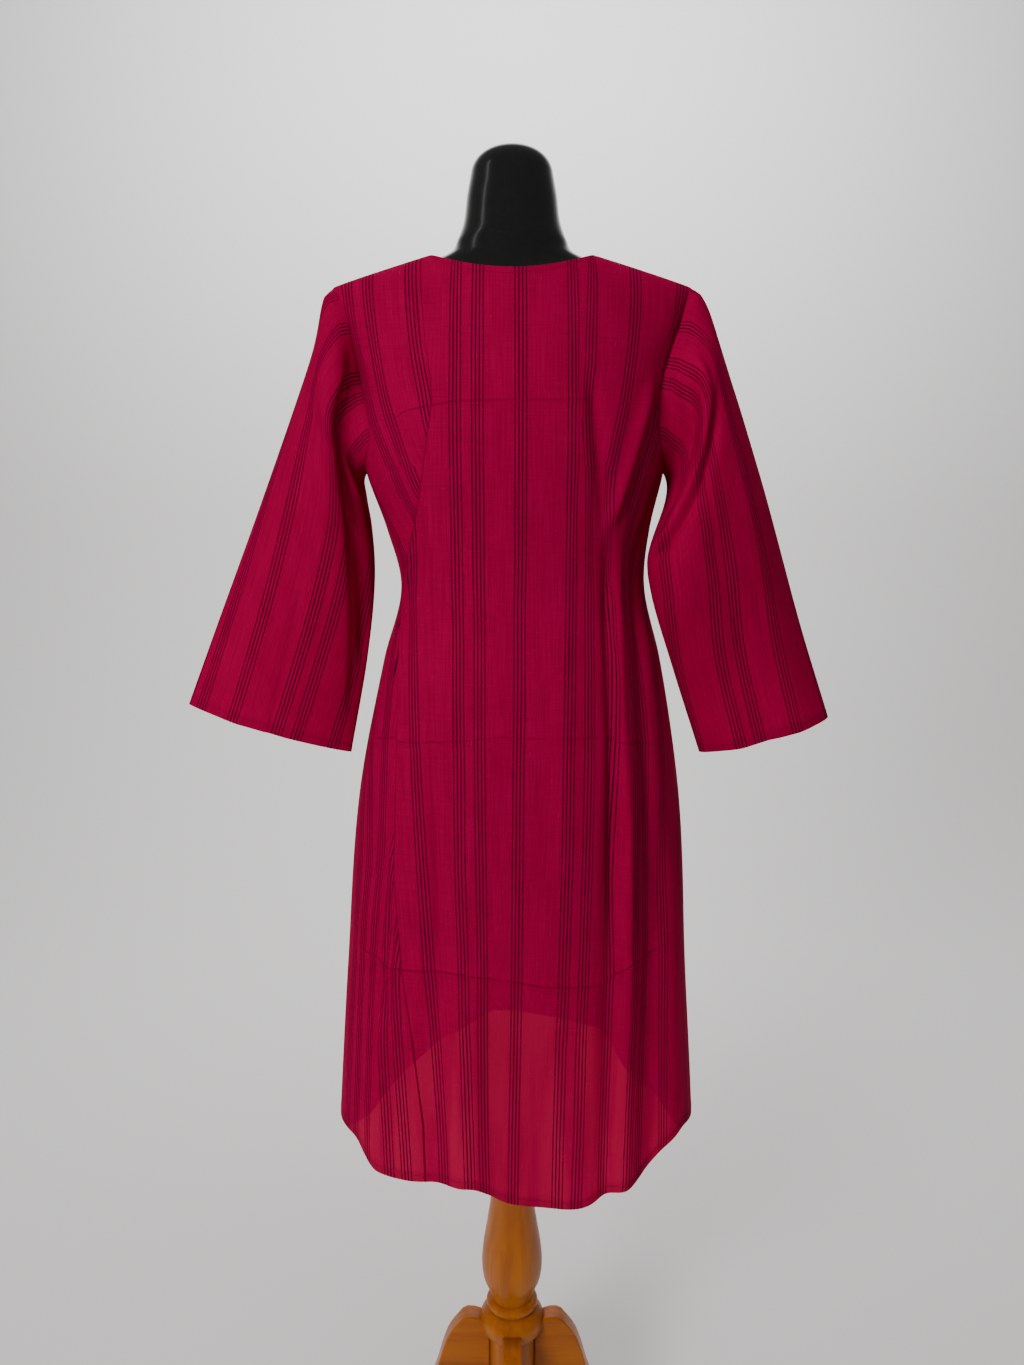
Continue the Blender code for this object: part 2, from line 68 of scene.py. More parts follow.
# Plan sections of the body, from the hem up: half-widths, depths and squareness
BODY = table(
    "z left right back front power",
    (0.440, 0.217, 0.226, 0.122, 0.126, 2.30),
    (0.504, 0.213, 0.223, 0.124, 0.126, 2.30),
    (0.720, 0.197, 0.208, 0.128, 0.120, 2.35),
    (0.940, 0.176, 0.193, 0.130, 0.116, 2.40),
    (1.080, 0.147, 0.170, 0.112, 0.108, 2.35),
    (1.170, 0.126, 0.150, 0.098, 0.102, 2.30),
    (1.230, 0.141, 0.155, 0.104, 0.113, 2.35),
    (1.295, 0.163, 0.169, 0.112, 0.123, 2.40),
    (1.390, 0.168, 0.173, 0.116, 0.124, 2.40),
    (1.489, 0.200, 0.200, 0.113, 0.110, 2.30),
    (1.560, 0.205, 0.205, 0.110, 0.106, 2.20),
)

# Half-width of the panels along the armhole, from the underarm (0) to the tip (1)
ARMHOLE = table(
    "up left right",
    (0.00, 0.163, 0.169),
    (0.12, 0.154, 0.160),
    (0.32, 0.157, 0.1585),
    (0.46, 0.163, 0.160),
    (0.62, 0.169, 0.169),
    (0.80, 0.177, 0.182),
    (1.00, 0.194, 0.194),
)

# Height of each hem at places across it
HEM_BACK = table(
    "x z",
    (-0.2165, 0.518), (-0.200, 0.520), (-0.183, 0.517), (-0.172, 0.506), (-0.160, 0.494),
    (-0.145, 0.489), (-0.104, 0.486), (-0.062, 0.4895), (-0.044, 0.489), (-0.027, 0.480),
    (-0.009, 0.469), (0.010, 0.463), (0.045, 0.457), (0.080, 0.457), (0.111, 0.469),
    (0.147, 0.482), (0.166, 0.495), (0.181, 0.513), (0.198, 0.525), (0.224, 0.520),
)
HEM_FRONT = table(
    "x z",
    (-0.2165, 0.518), (-0.170, 0.512), (-0.135, 0.518), (-0.100, 0.548), (-0.060, 0.588),
    (0.000, 0.597), (0.060, 0.590), (0.100, 0.560), (0.135, 0.522), (0.175, 0.514), (0.224, 0.520),
)
HEM_BAND = 0.012

# Long soft folds: where each starts and ends, how wide it is and how far it stands out
FOLDS = table(
    "panel x_top z_top x_low z_low width rise",
    (BACK, -0.093, 1.300, -0.080, 0.780, 0.0045, -0.003),
    (BACK, -0.083, 1.240, -0.070, 0.820, 0.007, 0.0014),
    (BACK, -0.078, 0.980, -0.092, 0.430, 0.018, -0.005),
    (BACK, 0.080, 1.400, 0.098, 1.240, 0.008, -0.0045),
    (BACK, 0.099, 1.260, 0.113, 0.800, 0.0055, -0.0065),
    (BACK, 0.112, 1.250, 0.126, 0.800, 0.006, 0.004),
    (BACK, 0.153, 1.400, 0.106, 1.240, 0.007, 0.0065),
    (BACK, 0.165, 1.390, 0.120, 1.250, 0.006, -0.0045),
    (BACK, 0.132, 1.250, 0.150, 0.900, 0.008, -0.006),
    (BACK, 0.126, 1.060, 0.130, 0.430, 0.012, 0.006),
    (BACK, 0.108, 1.020, 0.109, 0.430, 0.012, -0.006),
    (BACK, -0.050, 0.760, -0.055, 0.430, 0.022, 0.009),
    (BACK, 0.030, 0.720, 0.035, 0.430, 0.030, -0.005),
    (BACK, -0.150, 0.900, -0.160, 0.430, 0.022, 0.006),
    (BACK, 0.155, 0.960, 0.165, 0.430, 0.014, -0.0065),
    (BACK, 0.182, 0.900, 0.193, 0.430, 0.013, 0.0045),
    (BACK, 0.150, 1.470, 0.176, 1.440, 0.010, 0.0025),
    (BACK, -0.020, 1.160, -0.034, 0.900, 0.016, 0.0016),
    (BACK, 0.052, 1.190, 0.060, 0.880, 0.014, 0.0018),
    (FRONT, -0.100, 1.300, -0.085, 0.900, 0.018, -0.006),
    (FRONT, 0.070, 1.260, 0.090, 0.880, 0.016, -0.006),
    (FRONT, -0.060, 1.000, -0.070, 0.480, 0.022, -0.007),
    (FRONT, 0.020, 0.940, 0.015, 0.480, 0.026, 0.007),
    (FRONT, 0.110, 0.980, 0.125, 0.480, 0.020, -0.008),
    (FRONT, -0.140, 0.860, -0.150, 0.480, 0.022, 0.007),
    (FRONT, 0.120, 1.400, 0.105, 1.180, 0.009, 0.004),
    (FRONT, -0.130, 1.380, -0.108, 1.190, 0.010, -0.0035),
)

# Pressed creases across a panel, from left to right, and how far each stands out
CREASES = [
    (BACK, 0.0011, [(-0.122, 1.344), (-0.110, 1.351), (-0.083, 1.3555), (-0.060, 1.359),
                    (0.000, 1.3604), (0.049, 1.3606), (0.080, 1.3611)]),
    (BACK, 0.0012, [(-0.1585, 0.997), (-0.129, 1.0055), (-0.123, 1.0022), (-0.060, 1.008),
                    (-0.012, 1.0135), (0.050, 1.0105), (0.107, 1.0101), (0.113, 1.0044),
                    (0.160, 0.996)]),
    (BACK, 0.0016, [(-0.180, 0.776), (-0.172, 0.760), (-0.151, 0.757), (-0.139, 0.7455),
                    (-0.060, 0.7483), (-0.003, 0.7418), (0.035, 0.7343), (0.085, 0.7314),
                    (0.104, 0.7317), (0.113, 0.741), (0.135, 0.754), (0.171, 0.7603)]),
    (FRONT, 0.0011, [(-0.120, 1.240), (-0.020, 1.229), (0.060, 1.231), (0.130, 1.238)]),
    (FRONT, 0.0014, [(-0.160, 0.900), (-0.050, 0.893), (0.080, 0.897), (0.165, 0.906)]),
]
CREASE_WIDTH = 0.0012
CREASE_DEEPEST = 0.0016
CREASE_SPREAD = 0.0045
CREASE_FADE = 0.02
CREASE_LOW, CREASE_HIGH = 0.6, 1.5
LINE_REACH = 0.25

# Where the front's arched hem shows through the sheer back: below it the single layer is painted
# lighter, as painted light shining through from behind
ARCH = [(-0.215, 0.500), (-0.165, 0.560), (-0.1458, 0.5908), (-0.1211, 0.6246), (-0.0917, 0.6543),
        (-0.0734, 0.6734), (-0.0464, 0.6946), (-0.0209, 0.708), (0.0088, 0.706), (0.053, 0.6968),
        (0.098, 0.681), (0.1217, 0.6385), (0.1461, 0.6023), (0.1649, 0.5842), (0.215, 0.500)]
ARCH_LOW, ARCH_HIGH = 0.45, 0.75

# The back's cut on the form, in millimetres, a row for each height. Each name with a
# letter and a figure is a group of stripes and its place across. "lap" is the edge of
# the long fold at the waist, "under" and "over" the cut's own place on each side of it.
CUT = table(
    "z m5 m4 m3 m2 m1 lap under over p0 p1 p2 p3 p4 p5 p6 p7 p8 p9",
    (0.46, -186, -169, -140, -120, -77, -100, -76, -76, -46, -30, 1, 52, 74, 105, 131, 145, 178, 212),
    (0.56, -181, -165, -142, -124, -80, -102, -75, -75, -48, -32, 2, 53, 76, 106, 132, 146, 176, 207),
    (0.66, -174, -159, -145, -129, -86, -112, -79, -79, -50, -32, 4, 55, 77, 108, 134, 148, 174, 200),
    (0.74, -168, -153, -139, -132, -92, -122, -86, -86, -53, -32, 5, 57, 79, 109, 137, 152, 173, 195),
    (0.86, -158, -145, -134, -116, -98, -129, -114, -86, -56, -33, 6, 59, 81, 108, 133, 150, 168, 190),
    (0.995, -158, -140, -128, -116, -104, -125, -143, -75, -56, -34, 7, 60, 83, 110, 133, 148, 166, 189),
    (1.05, -154, -136, -127, -113, -106, -124, -156, -73, -57, -34, 8, 61, 83, 111, 132, 144, 162, 186),
    (1.12, -146, -128, -118, -109, -107, -123, -166, -70, -57, -34, 8, 62, 83, 109, 126, 135, 152, 175),
    (1.16, -140, -122, -113, -106, -108, -121, -171, -68, -58, -35, 8, 63, 83, 107, 120, 132, 148, 170),
    (1.20, -135, -117, -108, -104, -107, -113, -168, -60, -58, -35, 9, 63, 83, 104, 118, 131, 150, 172),
    (1.24, -170, -135, -102, -102, -100, -102, -119, -47, -58, -35, 9, 63, 82, 101, 126, 143, 170, 192),
    (1.27, -190, -152, -117, -100, -95, -96, -93, -40, -58, -35, 9, 63, 81, 100, 135, 153, 186, 208),
    (1.30, -200, -165, -129, -112, -90, -91, -75, -35, -58, -35, 9, 63, 80, 104, 144, 164, 200, 222),
    (1.33, -215, -180, -143, -122, -86, -86, -53, -29, -58, -35, 9, 63, 78, 110, 154, 174, 214, 236),
    (1.36, -225, -192, -152, -133, -88, -81, -46, -25, -58, -35, 9, 63, 77, 117, 159, 180, 222, 244),
    (1.40, -235, -204, -161, -141, -97, -85, -40, -29, -58, -35, 9, 63, 80, 123, 166, 187, 230, 252),
    (1.43, -240, -212, -168, -146, -101, -90, -42, -37, -58, -35, 9, 63, 81, 127, 171, 192, 236, 258),
    (1.47, -250, -222, -175, -152, -105, -94, -42, -42, -58, -35, 9, 63, 83, 130, 181, 202, 244, 266),
    (1.52, -262, -236, -184, -158, -109, -98, -42, -42, -58, -35, 9, 63, 85, 132, 190, 212, 254, 276),
)

# How much of the lapped fold there is at each height
HOLD = table(
    "z share",
    (0.66, 0.0), (0.74, 0.2), (0.86, 0.6), (0.995, 0.8), (1.05, 0.9),
    (1.12, 1.0), (1.36, 1.0), (1.40, 0.8), (1.43, 0.4), (1.47, 0.0),
)

# Stripes: the cut's repeat, where its groups of lines start, and each group's lines
REPEAT = 0.119
GROUPS = (0.0, 0.0227, 0.0662)
LINE_PITCH = 0.0039
LINE_HALF = 0.00058
FRONT_SHIFT = 0.06

# Section through the lapped fold: along, out and share of the hidden cloth
LAPS = table(
    "along out share",
    (0.0, -1.3, 0.00), (3.0, -1.6, 0.15), (6.0, -1.7, 0.35), (7.0, -1.3, 0.50),
    (6.0, -0.9, 0.65), (3.0, -0.7, 0.85), (0.3, -0.5, 1.00), (-0.5, -0.2, 1.00),
    (-0.8, 0.3, 1.00), (-0.5, 0.8, 1.00), (0.1, 1.1, 1.00),
)

# Turned edges: width and the round's radius, and the stitches that hold them
HEM_TURN, HEM_ROUND = 0.012, 0.0007
NECK_TURN, NECK_ROUND = 0.009, 0.0006
STITCH_INSET = 0.008
STITCH_PITCH, STITCH_LENGTH, STITCH_ROUND = 0.003, 0.0023, 0.00026

# Sleeve sections: outer and inner edge, half-depth, middle at each edge and squareness
CUFF = "along x_out z_out x_in z_in depth y y_in power"
SLEEVE = {
    LEFT: table(
        CUFF,
        (0.09, 0.208, 1.446, 0.166, 1.284, 0.058, 0.000, 0.000, 2.0),
        (0.24, 0.235, 1.378, 0.164, 1.262, 0.057, 0.000, 0.000, 1.9),
        (0.40, 0.262, 1.310, 0.159, 1.228, 0.053, 0.000, 0.004, 1.8),
        (0.58, 0.294, 1.230, 0.157, 1.172, 0.047, 0.000, 0.004, 1.65),
        (0.78, 0.331, 1.138, 0.166, 1.087, 0.038, -0.002, 0.000, 1.5),
        (1.00, 0.3755, 1.027, 0.188, 0.970, 0.028, -0.004, -0.004, 1.4),
    ),
    RIGHT: table(
        CUFF,
        (0.09, 0.216, 1.452, 0.173, 1.284, 0.058, 0.000, 0.000, 2.0),
        (0.24, 0.243, 1.382, 0.171, 1.258, 0.058, -0.006, -0.020, 2.0),
        (0.40, 0.273, 1.292, 0.149, 1.205, 0.053, -0.012, -0.055, 2.0),
        (0.58, 0.299, 1.212, 0.152, 1.160, 0.049, -0.012, -0.055, 1.9),
        (0.78, 0.330, 1.118, 0.182, 1.075, 0.042, -0.008, -0.020, 1.8),
        (1.00, 0.368, 1.012, 0.219, 0.970, 0.036, -0.004, -0.004, 1.7),
    ),
}

# Folds of the sleeves: start and end along, the turn there (0 is the outer edge, 90 the
# back, 180 the underarm, 270 the front), how it curves between them, its width in
# degrees toward the outer edge and toward the underarm, and how far it stands out
GATHERS = table(
    "side a_top turn_top a_low turn_low bend before after rise",
    (LEFT, 0.00, 20, 0.45, 121, 0.25, 26, 4, 0.0085),
    (LEFT, 0.00, 34, 0.45, 135, 0.25, 8, 18, -0.008),
    (LEFT, 0.42, 119, 0.90, 148, 1.0, 20, 5, 0.005),
    (LEFT, 0.42, 135, 0.80, 164, 1.0, 8, 14, -0.0065),
    (LEFT, 0.00, 75, 0.30, 150, 0.7, 10, 12, 0.0035),
    (LEFT, 0.25, 45, 1.10, 62, 1.0, 14, 9, 0.0032),
    (LEFT, 0.30, 84, 1.10, 98, 1.0, 14, 12, -0.0032),
    (LEFT, 0.10, 300, 0.80, 240, 1.0, 16, 16, 0.005),
    (LEFT, 0.20, 250, 1.10, 270, 1.0, 15, 15, -0.004),
    (RIGHT, 0.03, 68, 0.44, 166, 1.8, 6, 24, 0.008),
    (RIGHT, 0.16, 68, 0.44, 150, 1.4, 12, 8, -0.005),
    (RIGHT, 0.02, 80, 0.30, 172, 1.0, 14, 12, -0.005),
    (RIGHT, 0.30, 52, 1.10, 58, 1.0, 15, 10, 0.0032),
    (RIGHT, 0.40, 88, 1.10, 92, 1.0, 12, 14, -0.0034),
    (RIGHT, 0.45, 128, 1.10, 118, 1.0, 10, 14, 0.0034),
    (RIGHT, 0.10, 300, 0.80, 240, 1.0, 16, 16, 0.005),
    (RIGHT, 0.20, 250, 1.10, 270, 1.0, 15, 15, -0.004),
)
SLEEVE_RADIUS = 0.065

# How high each sleeve's rounded head stands and how far round it goes, in degrees,
# and how far its stripes are moved round
SLEEVE_HEAD = {LEFT: 0.0075, RIGHT: 0.0060}
HEAD_WIDTH = 48
SLEEVE_SHIFT = {LEFT: 0.003, RIGHT: 0.005}

# The dress form, from its base up
FORM = table(
    "z half back front power",
    (0.800, 0.138, 0.092, 0.080, 2.2),
    (0.806, 0.150, 0.102, 0.088, 2.2),
    (0.840, 0.155, 0.110, 0.093, 2.2),
    (0.930, 0.160, 0.118, 0.098, 2.2),
    (1.020, 0.145, 0.104, 0.094, 2.2),
    (1.100, 0.125, 0.090, 0.088, 2.2),
    (1.165, 0.115, 0.084, 0.086, 2.2),
    (1.230, 0.128, 0.092, 0.102, 2.2),
    (1.290, 0.146, 0.102, 0.116, 2.2),
    (1.360, 0.143, 0.104, 0.108, 2.2),
    (1.430, 0.158, 0.092, 0.090, 2.1),
    (1.470, 0.172, 0.072, 0.066, 1.9),
    (1.487, 0.168, 0.060, 0.052, 1.7),
    (1.500, 0.134, 0.054, 0.042, 1.6),
    (1.510, 0.102, 0.051, 0.040, 1.6),
    (1.523, 0.068, 0.050, 0.043, 1.9),
    (1.537, 0.059, 0.051, 0.049, 2.0),
    (1.549, 0.054, 0.049, 0.048, 2.0),
    (1.585, 0.048, 0.046, 0.045, 2.0),
    (1.603, 0.0445, 0.0425, 0.0415, 2.0),
)
FORM_TOP = 1.633
FORM_SHOULDER = 1.470
FORM_SIDES = 96
DOME_POWER = 2.3

# The turned post, from the ring that it stands on up to the form
POST = table(
    "z radius",
    (0.249, 0.0262), (0.258, 0.0282), (0.274, 0.0352), (0.296, 0.0385), (0.320, 0.0372),
    (0.350, 0.0325), (0.384, 0.0275), (0.420, 0.0245), (0.470, 0.022), (0.560, 0.021),
    (0.680, 0.021), (0.760, 0.024), (0.780, 0.031),
)
PLATE_RADIUS = 0.048
PLATE_LOW = 0.7870
PLATE_TOP = 0.7997
BEAD_TOP = 0.2490
BEAD_LOW = 0.2343
BEAD_RADIUS = 0.0330
RING_Z = 0.2155
RING_HALF = 0.0182
RING_RADIUS = 0.0415
HUB_TOP = 0.1970
HUB_BOTTOM = 0.1050
HUB_RADIUS = 0.0300

# Outline of one board leg: distance from the post's axis and height
LEG_THICK = 0.024
LEG_TOP = [
    (0.034, 0.217), (0.049, 0.223), (0.061, 0.2225), (0.070, 0.213), (0.082, 0.196),
    (0.090, 0.175), (0.099, 0.143), (0.112, 0.110), (0.135, 0.075), (0.170, 0.045),
    (0.205, 0.029), (0.230, 0.022), (0.240, 0.012),
]
LEG_FOOT = [(0.238, 0.000), (0.195, 0.000)]
LEG_ARCH = [
    (0.160, 0.007), (0.125, 0.024), (0.100, 0.050), (0.085, 0.082), (0.070, 0.106),
    (0.052, 0.116), (0.0285, 0.118),
]
LEG_STEP = [(0.0285, 0.1965)]
LEG_EASED = 0.0022

# Finishes, with painted light and shade among them, as linear colours
CLOTH_LIGHT = (0.490, 0.0034, 0.068)
CLOTH_DEEP = (0.370, 0.0020, 0.047)
CLOTH_SLUB = (0.650, 0.0140, 0.125)
# painted backlight: lighter colour where light from behind shines through one layer
CLOTH_PAINTED_BACKLIGHT = (0.600, 0.0180, 0.072)
STRIPE = (0.040, 0.0020, 0.020)
# painted shade: the dark colour in the creases' grooves
CREASE_PAINTED_SHADE = (0.150, 0.0004, 0.014)
THREAD = (0.300, 0.0020, 0.040)
FORM_BLACK = (0.006, 0.006, 0.006)
FORM_DUST = (0.012, 0.012, 0.012)
WOOD_LIGHT = (0.500, 0.145, 0.007)
WOOD_DEEP = (0.300, 0.066, 0.003)
WOOD_PORE = (0.060, 0.014, 0.002)
FLOOR = (0.780, 0.770, 0.760)
SHEER_SHARE = 0.26

# The studio: its floor and the sweep behind it, its lamps, its air and the camera
FLOOR_HALF, FLOOR_NEAR, WALL_TOP = 5.0, -4.0, 5.0
SWEEP_START, SWEEP_RADIUS = 1.6, 1.2
LAMPS = table(
    "name place target size watts unseen_by",
    ("key", (-1.5, -2.4, 2.1), (0.0, 0.0, 1.05), (1.0, 1.0), 61, "visible_glossy"),
    ("top", (0.1, -0.9, 3.3), (0.0, 0.0, 1.5), (1.4, 0.8), 12, "visible_glossy"),
    ("fill", (2.4, -2.0, 1.5), (0.0, 0.0, 1.0), (2.0, 2.0), 2, "visible_glossy"),
    ("backdrop", (0.0, 1.0, 3.2), (0.0, 3.0, 1.5), (2.4, 1.0), 110, "visible_glossy"),
    ("strip", (-1.5, -0.5, 1.6), (0.0, 0.0, 1.1), (0.10, 2.2), 1.6, "visible_diffuse"),
)
AIR_COLOR = (1.0, 0.99, 0.97, 1)
AIR_BEHIND, AIR_LIGHT = 0.45, 0.13
CAMERA_PLACE = (0.0, -1.225, 1.267)
CAMERA_TILT = math.radians(80)
SENSOR = 36
FOCAL_PIXELS, PHOTO_PIXELS = 1070, 1365


def curve_through(places, values, at):
    """Values at any place, on a smooth curve through those at the given places."""
    slopes = np.gradient(values, places, axis=0)
    at = np.clip(at, places[0], places[-1])
    i = np.clip(np.searchsorted(places, at) - 1, 0, len(places) - 2)
    shape = np.shape(at) + (1,) * (values.ndim - 1)
    step = (places[i + 1] - places[i]).reshape(shape)
    t = (at - places[i]).reshape(shape) / step
    start = (1 + 2 * t) * (1 - t) ** 2 * values[i] + t * (1 - t) ** 2 * step * slopes[i]
    end = t * t * (3 - 2 * t) * values[i + 1] + t * t * (t - 1) * step * slopes[i + 1]
    return start + end


def read(table, column, at):
    """A table's column at any place, on a smooth curve through its rows."""
    places = np.array([row[0] for row in table])
    values = np.array([getattr(row, column) for row in table], dtype=float)
    return curve_through(places, values, at)


def straight(table, column, at):
    """A table's column at any place, on straight lines through its rows."""
    places = np.array([row[0] for row in table])
    values = np.array([getattr(row, column) for row in table], dtype=float)
    return np.interp(at, places, values)


def ease(t):
    """0 to 1 with soft ends."""
    t = np.clip(t, 0, 1)
    return t * t * (3 - 2 * t)


def bell(off, width):
    """A soft hump: 1 in the middle and nearly nothing at twice its width."""
    return np.exp(-((off / width) ** 2))


def unit(vectors):
    """Vectors at a length of one."""
    return vectors / (np.linalg.norm(vectors, axis=-1, keepdims=True) + 1e-12)


def side_width(table, across, at):
    """A table's half-width on each point's own side."""
    return np.where(across < 0, read(table, "left", at), read(table, "right", at))


def grade(count, ends):
    """Places from 0 to 1, closer together toward both ends."""
    u = np.linspace(0, 1, count + 1)
    return (1 - ends) * u + ends * (1 - np.cos(math.pi * u)) / 2


def shoulder_line(x):
    """Height of the shoulder seam, carried on in a soft arch over the neck."""
    return SHOULDER_TOP - SHOULDER_SLOPE * np.sqrt(x * x + SHOULDER_EASE**2)


def top_edge(panel, across):
    """The neckline and shoulder seams, left to right, as x and z."""
    neck = np.clip(np.abs(across) / NECK_SHARE, 0, 1) * math.pi / 2
    shoulder = np.clip((np.abs(across) - NECK_SHARE) / (1 - NECK_SHARE), 0, 1)
    x = NECK_HALF * np.sin(neck) + (TIP_HALF - NECK_HALF) * shoulder
    x = np.sign(across) * x
    drop = NECK_DROP[panel] * np.clip(np.cos(neck), 0, 1) ** NECK_CURVE[panel]
    z = np.where(shoulder > 0, shoulder_line(x), shoulder_line(NECK_HALF) - drop)
    return x, z


def ring_share(across, z):
    """Share of the half-width at each place across."""
    angle = np.abs(across) * math.pi / 2
    return np.sign(across) * np.sin(angle) ** (2 / read(BODY, "power", z))


def flat_places(panel, across, level):
    """x and z of a panel's points. Level is 0 at the hem, 1 at the underarm, 2 on top."""
    skirt = np.clip(level, 0, 1)[:, None]
    yoke = np.clip(level - 1, 0, 1)[:, None]
    hem_x = side_width(BODY, across, HEM_LEVEL) * ring_share(across, HEM_LEVEL)
    hem = read(HEM_BACK if panel == BACK else HEM_FRONT, "z", hem_x)
    skirt_z = hem + (Z_UNDERARM - hem) * skirt
    skirt_x = side_width(BODY, across, skirt_z) * ring_share(across, skirt_z)
    top_x, top_z = top_edge(panel, across)
    edge = side_width(ARMHOLE, across, yoke)
    blend = ease(yoke)
    share = ring_share(across, Z_UNDERARM) * (1 - blend) + top_x / TIP_HALF * blend
    yoke_z = Z_UNDERARM + (top_z - Z_UNDERARM) * yoke
    low = level[:, None] <= 1
    return np.where(low, skirt_x, edge * share), np.where(low, skirt_z, yoke_z)


def rounded(panel, x, z):
    """Depth of a panel at each point, its way out and how near the shoulder it is."""
    depth = read(BODY, "back" if panel == BACK else "front", z)
    power = read(BODY, "power", z)
    half = side_width(BODY, x, z)
    round_in = np.clip(1 - (np.abs(x) / half) ** power, 0, 1) ** (1 / power)
    lift = np.clip((z - Z_UNDERARM) / (shoulder_line(x) - Z_UNDERARM), 0, 1)
    y = panel * depth * round_in * np.sqrt(1 - lift**2)
    out_x, out_y = x / half**2, y / depth**2
    length = np.hypot(out_x, out_y) + 1e-9
    return y, out_x / length, out_y / length, lift


def fold_rise(panel, x, z):
    """How far the long folds lift the cloth at each point."""
    rise = np.zeros_like(x)
    for fold in FOLDS:
        if fold.panel != panel:
            continue
        share = (fold.z_top - z) / (fold.z_top - fold.z_low)
        line = fold.x_top + (fold.x_low - fold.x_top) * share
        fade = ease(share * 4) * ease((1.15 - share) * 4)
        rise += fold.rise * fade * bell(x - line, fold.width)
    return rise


def crease_rise(panel, x, z):
    """How far the pressed creases lift the cloth at each point."""
    rise = np.zeros_like(x)
    for owner, height, line in CREASES:
        if owner != panel:
            continue
        places, levels = np.array(line).T
        off = z - np.interp(x, places, levels)
        fade = ease((x - places[0]) / CREASE_FADE + 0.5) * ease((places[-1] - x) / CREASE_FADE + 0.5)
        rise += height * fade * np.exp(-np.abs(off) / CREASE_SPREAD)
    return rise


def soft_waves(seed, across, along, size):
    """Small uneven waves, longer along the cloth than across it."""
    rng = np.random.default_rng(seed)
    total = np.zeros(np.broadcast(across, along).shape)
    for _ in range(WAVES):
        k_across = rng.uniform(30, 190)
        k_along = rng.uniform(-1, 1) * rng.uniform(6, 50)
        phase = rng.uniform(0, 2 * math.pi)
        total += np.cos(k_across * across + k_along * along + phase) * (60 / (60 + k_across))
    return size * total / 5


def seam_dip(distance, depth):
    """A seam's line and the soft roll beside it, by the distance from it."""
    line = -depth * np.exp(-distance / (2.0 * MM))
    return line + 0.6 * depth * bell(distance - 6 * MM, 3.5 * MM)


def run_of(grid, axis):
    """Length along a grid's rows or columns."""
    step = np.linalg.norm(np.diff(grid, axis=axis), axis=-1)
    start = np.zeros_like(step[:, :1] if axis == 1 else step[:1])
    return np.concatenate([start, np.cumsum(step, axis=axis)], axis=axis)


def lap_place(x, z, across):
    """Where across each row the lapped fold's edge crosses it."""
    places = []
    for row_x, row_z in zip(x, z):
        off = row_x - straight(CUT, "lap", row_z) * MM
        places.append(np.interp(0, off, across))
    return np.array(places)


def knots(row_x, row_z, run, names, edge_run, edge_cut):
    """Places along one row and on the cut, for the groups of stripes that show."""
    found = [(edge_run, edge_cut)]
    for name in names:
        index = int(name[1]) if name[0] == "p" else -int(name[1])
        off = row_x - straight(CUT, name, row_z) * MM
        if off[0] <= 0 <= off[-1]:
            found.append((np.interp(0, off, run), REPEAT * (index // 3) + GROUPS[index % 3]))
    return sorted(found)


def cut_across(x, z, run, lap):
    """The back's own place across the cut at each point, on both sides of the lap."""
    left = np.zeros_like(x)
    right = np.zeros_like(x)
    minus = ["m5", "m4", "m3", "m2", "m1"]
    plus = ["m1"] + [f"p{k}" for k in range(10)]
    for i in range(len(x)):
        at = np.interp(lap[i], x[i], run[i])
        height = np.interp(lap[i], x[i], z[i])
        edge = straight(CUT, "under", height) * MM
        points = knots(x[i], z[i], run[i], minus, at, edge)
        points = [p for p in points if p[0] < at - 2 * MM and p[1] < edge - 3 * MM]
        left[i] = spread(points + [(at, edge)], run[i])
        edge = straight(CUT, "over", height) * MM
        points = knots(x[i], z[i], run[i], plus, at, edge)
        points = [p for p in points if p[0] > at + 2 * MM and p[1] > edge + 3 * MM]
        right[i] = spread([(at, edge)] + points, run[i])
    return x + soften(left - x, 6), x + soften(right - x, 6)


def soften(values, reach):
    """Values averaged along the rows, so that no stripe jumps between two rows."""
    padded = np.pad(values, ((reach + 1, reach), (0, 0)), mode="edge")
    total = np.cumsum(padded, axis=0)
    return (total[2 * reach + 1:] - total[:-2 * reach - 1]) / (2 * reach + 1)


def spread(points, run):
    """Cut places for a row: true to size within each group, stretched between them."""
    runs = np.array([p[0] for p in points])
    cuts = np.array([p[1] for p in points])
    keep = [0]
    for k in range(1, len(runs)):
        if runs[k] > runs[keep[-1]] + 1 * MM and cuts[k] > cuts[keep[-1]]:
            keep.append(k)
    runs, cuts = runs[keep], cuts[keep]
    wide_run, wide_cut = [], []
    for k in range(len(runs)):
        near = slice(max(k - 1, 0), k + 2)
        gaps = [*np.diff(runs[near]), *np.diff(cuts[near])]
        half = min([7 * MM] + [0.45 * gap for gap in gaps])
        wide_run += [runs[k] - half, runs[k] + half]
        wide_cut += [cuts[k] - half, cuts[k] + half]
    found = np.interp(run, wide_run, wide_cut)
    found = np.where(run < wide_run[0], wide_cut[0] + run - wide_run[0], found)
    return np.where(run > wide_run[-1], wide_cut[-1] + run - wide_run[-1], found)


def row_levels():
    """Levels of a panel's rows, closer together by the hem and the top."""
    hem = np.linspace(0, HEM_BAND, 7)[:-1]
    skirt = HEM_BAND + (1 - HEM_BAND) * np.linspace(0, 1, SKIRT_ROWS - 5)[:-1]
    yoke = 1 + 0.5 - 0.5 * np.cos(np.linspace(0, math.pi, YOKE_ROWS + 1))
    return np.concatenate([hem, skirt, yoke])


def dip_seams(points, out_x, out_y, lift, level, across):
    """Sink the side, armhole and shoulder seams a little."""
    run = run_of(points, 1)
    depth = np.where(level[:, None] < 1, 0.5 * MM, 0.9 * MM)
    fade = 1 - lift**4
    for distance in (run, run[:, -1:] - run):
        dip = seam_dip(distance, depth) * fade
        points[..., 0] += dip * out_x
        points[..., 1] += dip * out_y
    up = run_of(points, 0)
    shoulder = ease((np.abs(across) - NECK_SHARE) / 0.02)
    points[..., 2] += seam_dip(up[-1:] - up, 0.7 * MM) * shoulder


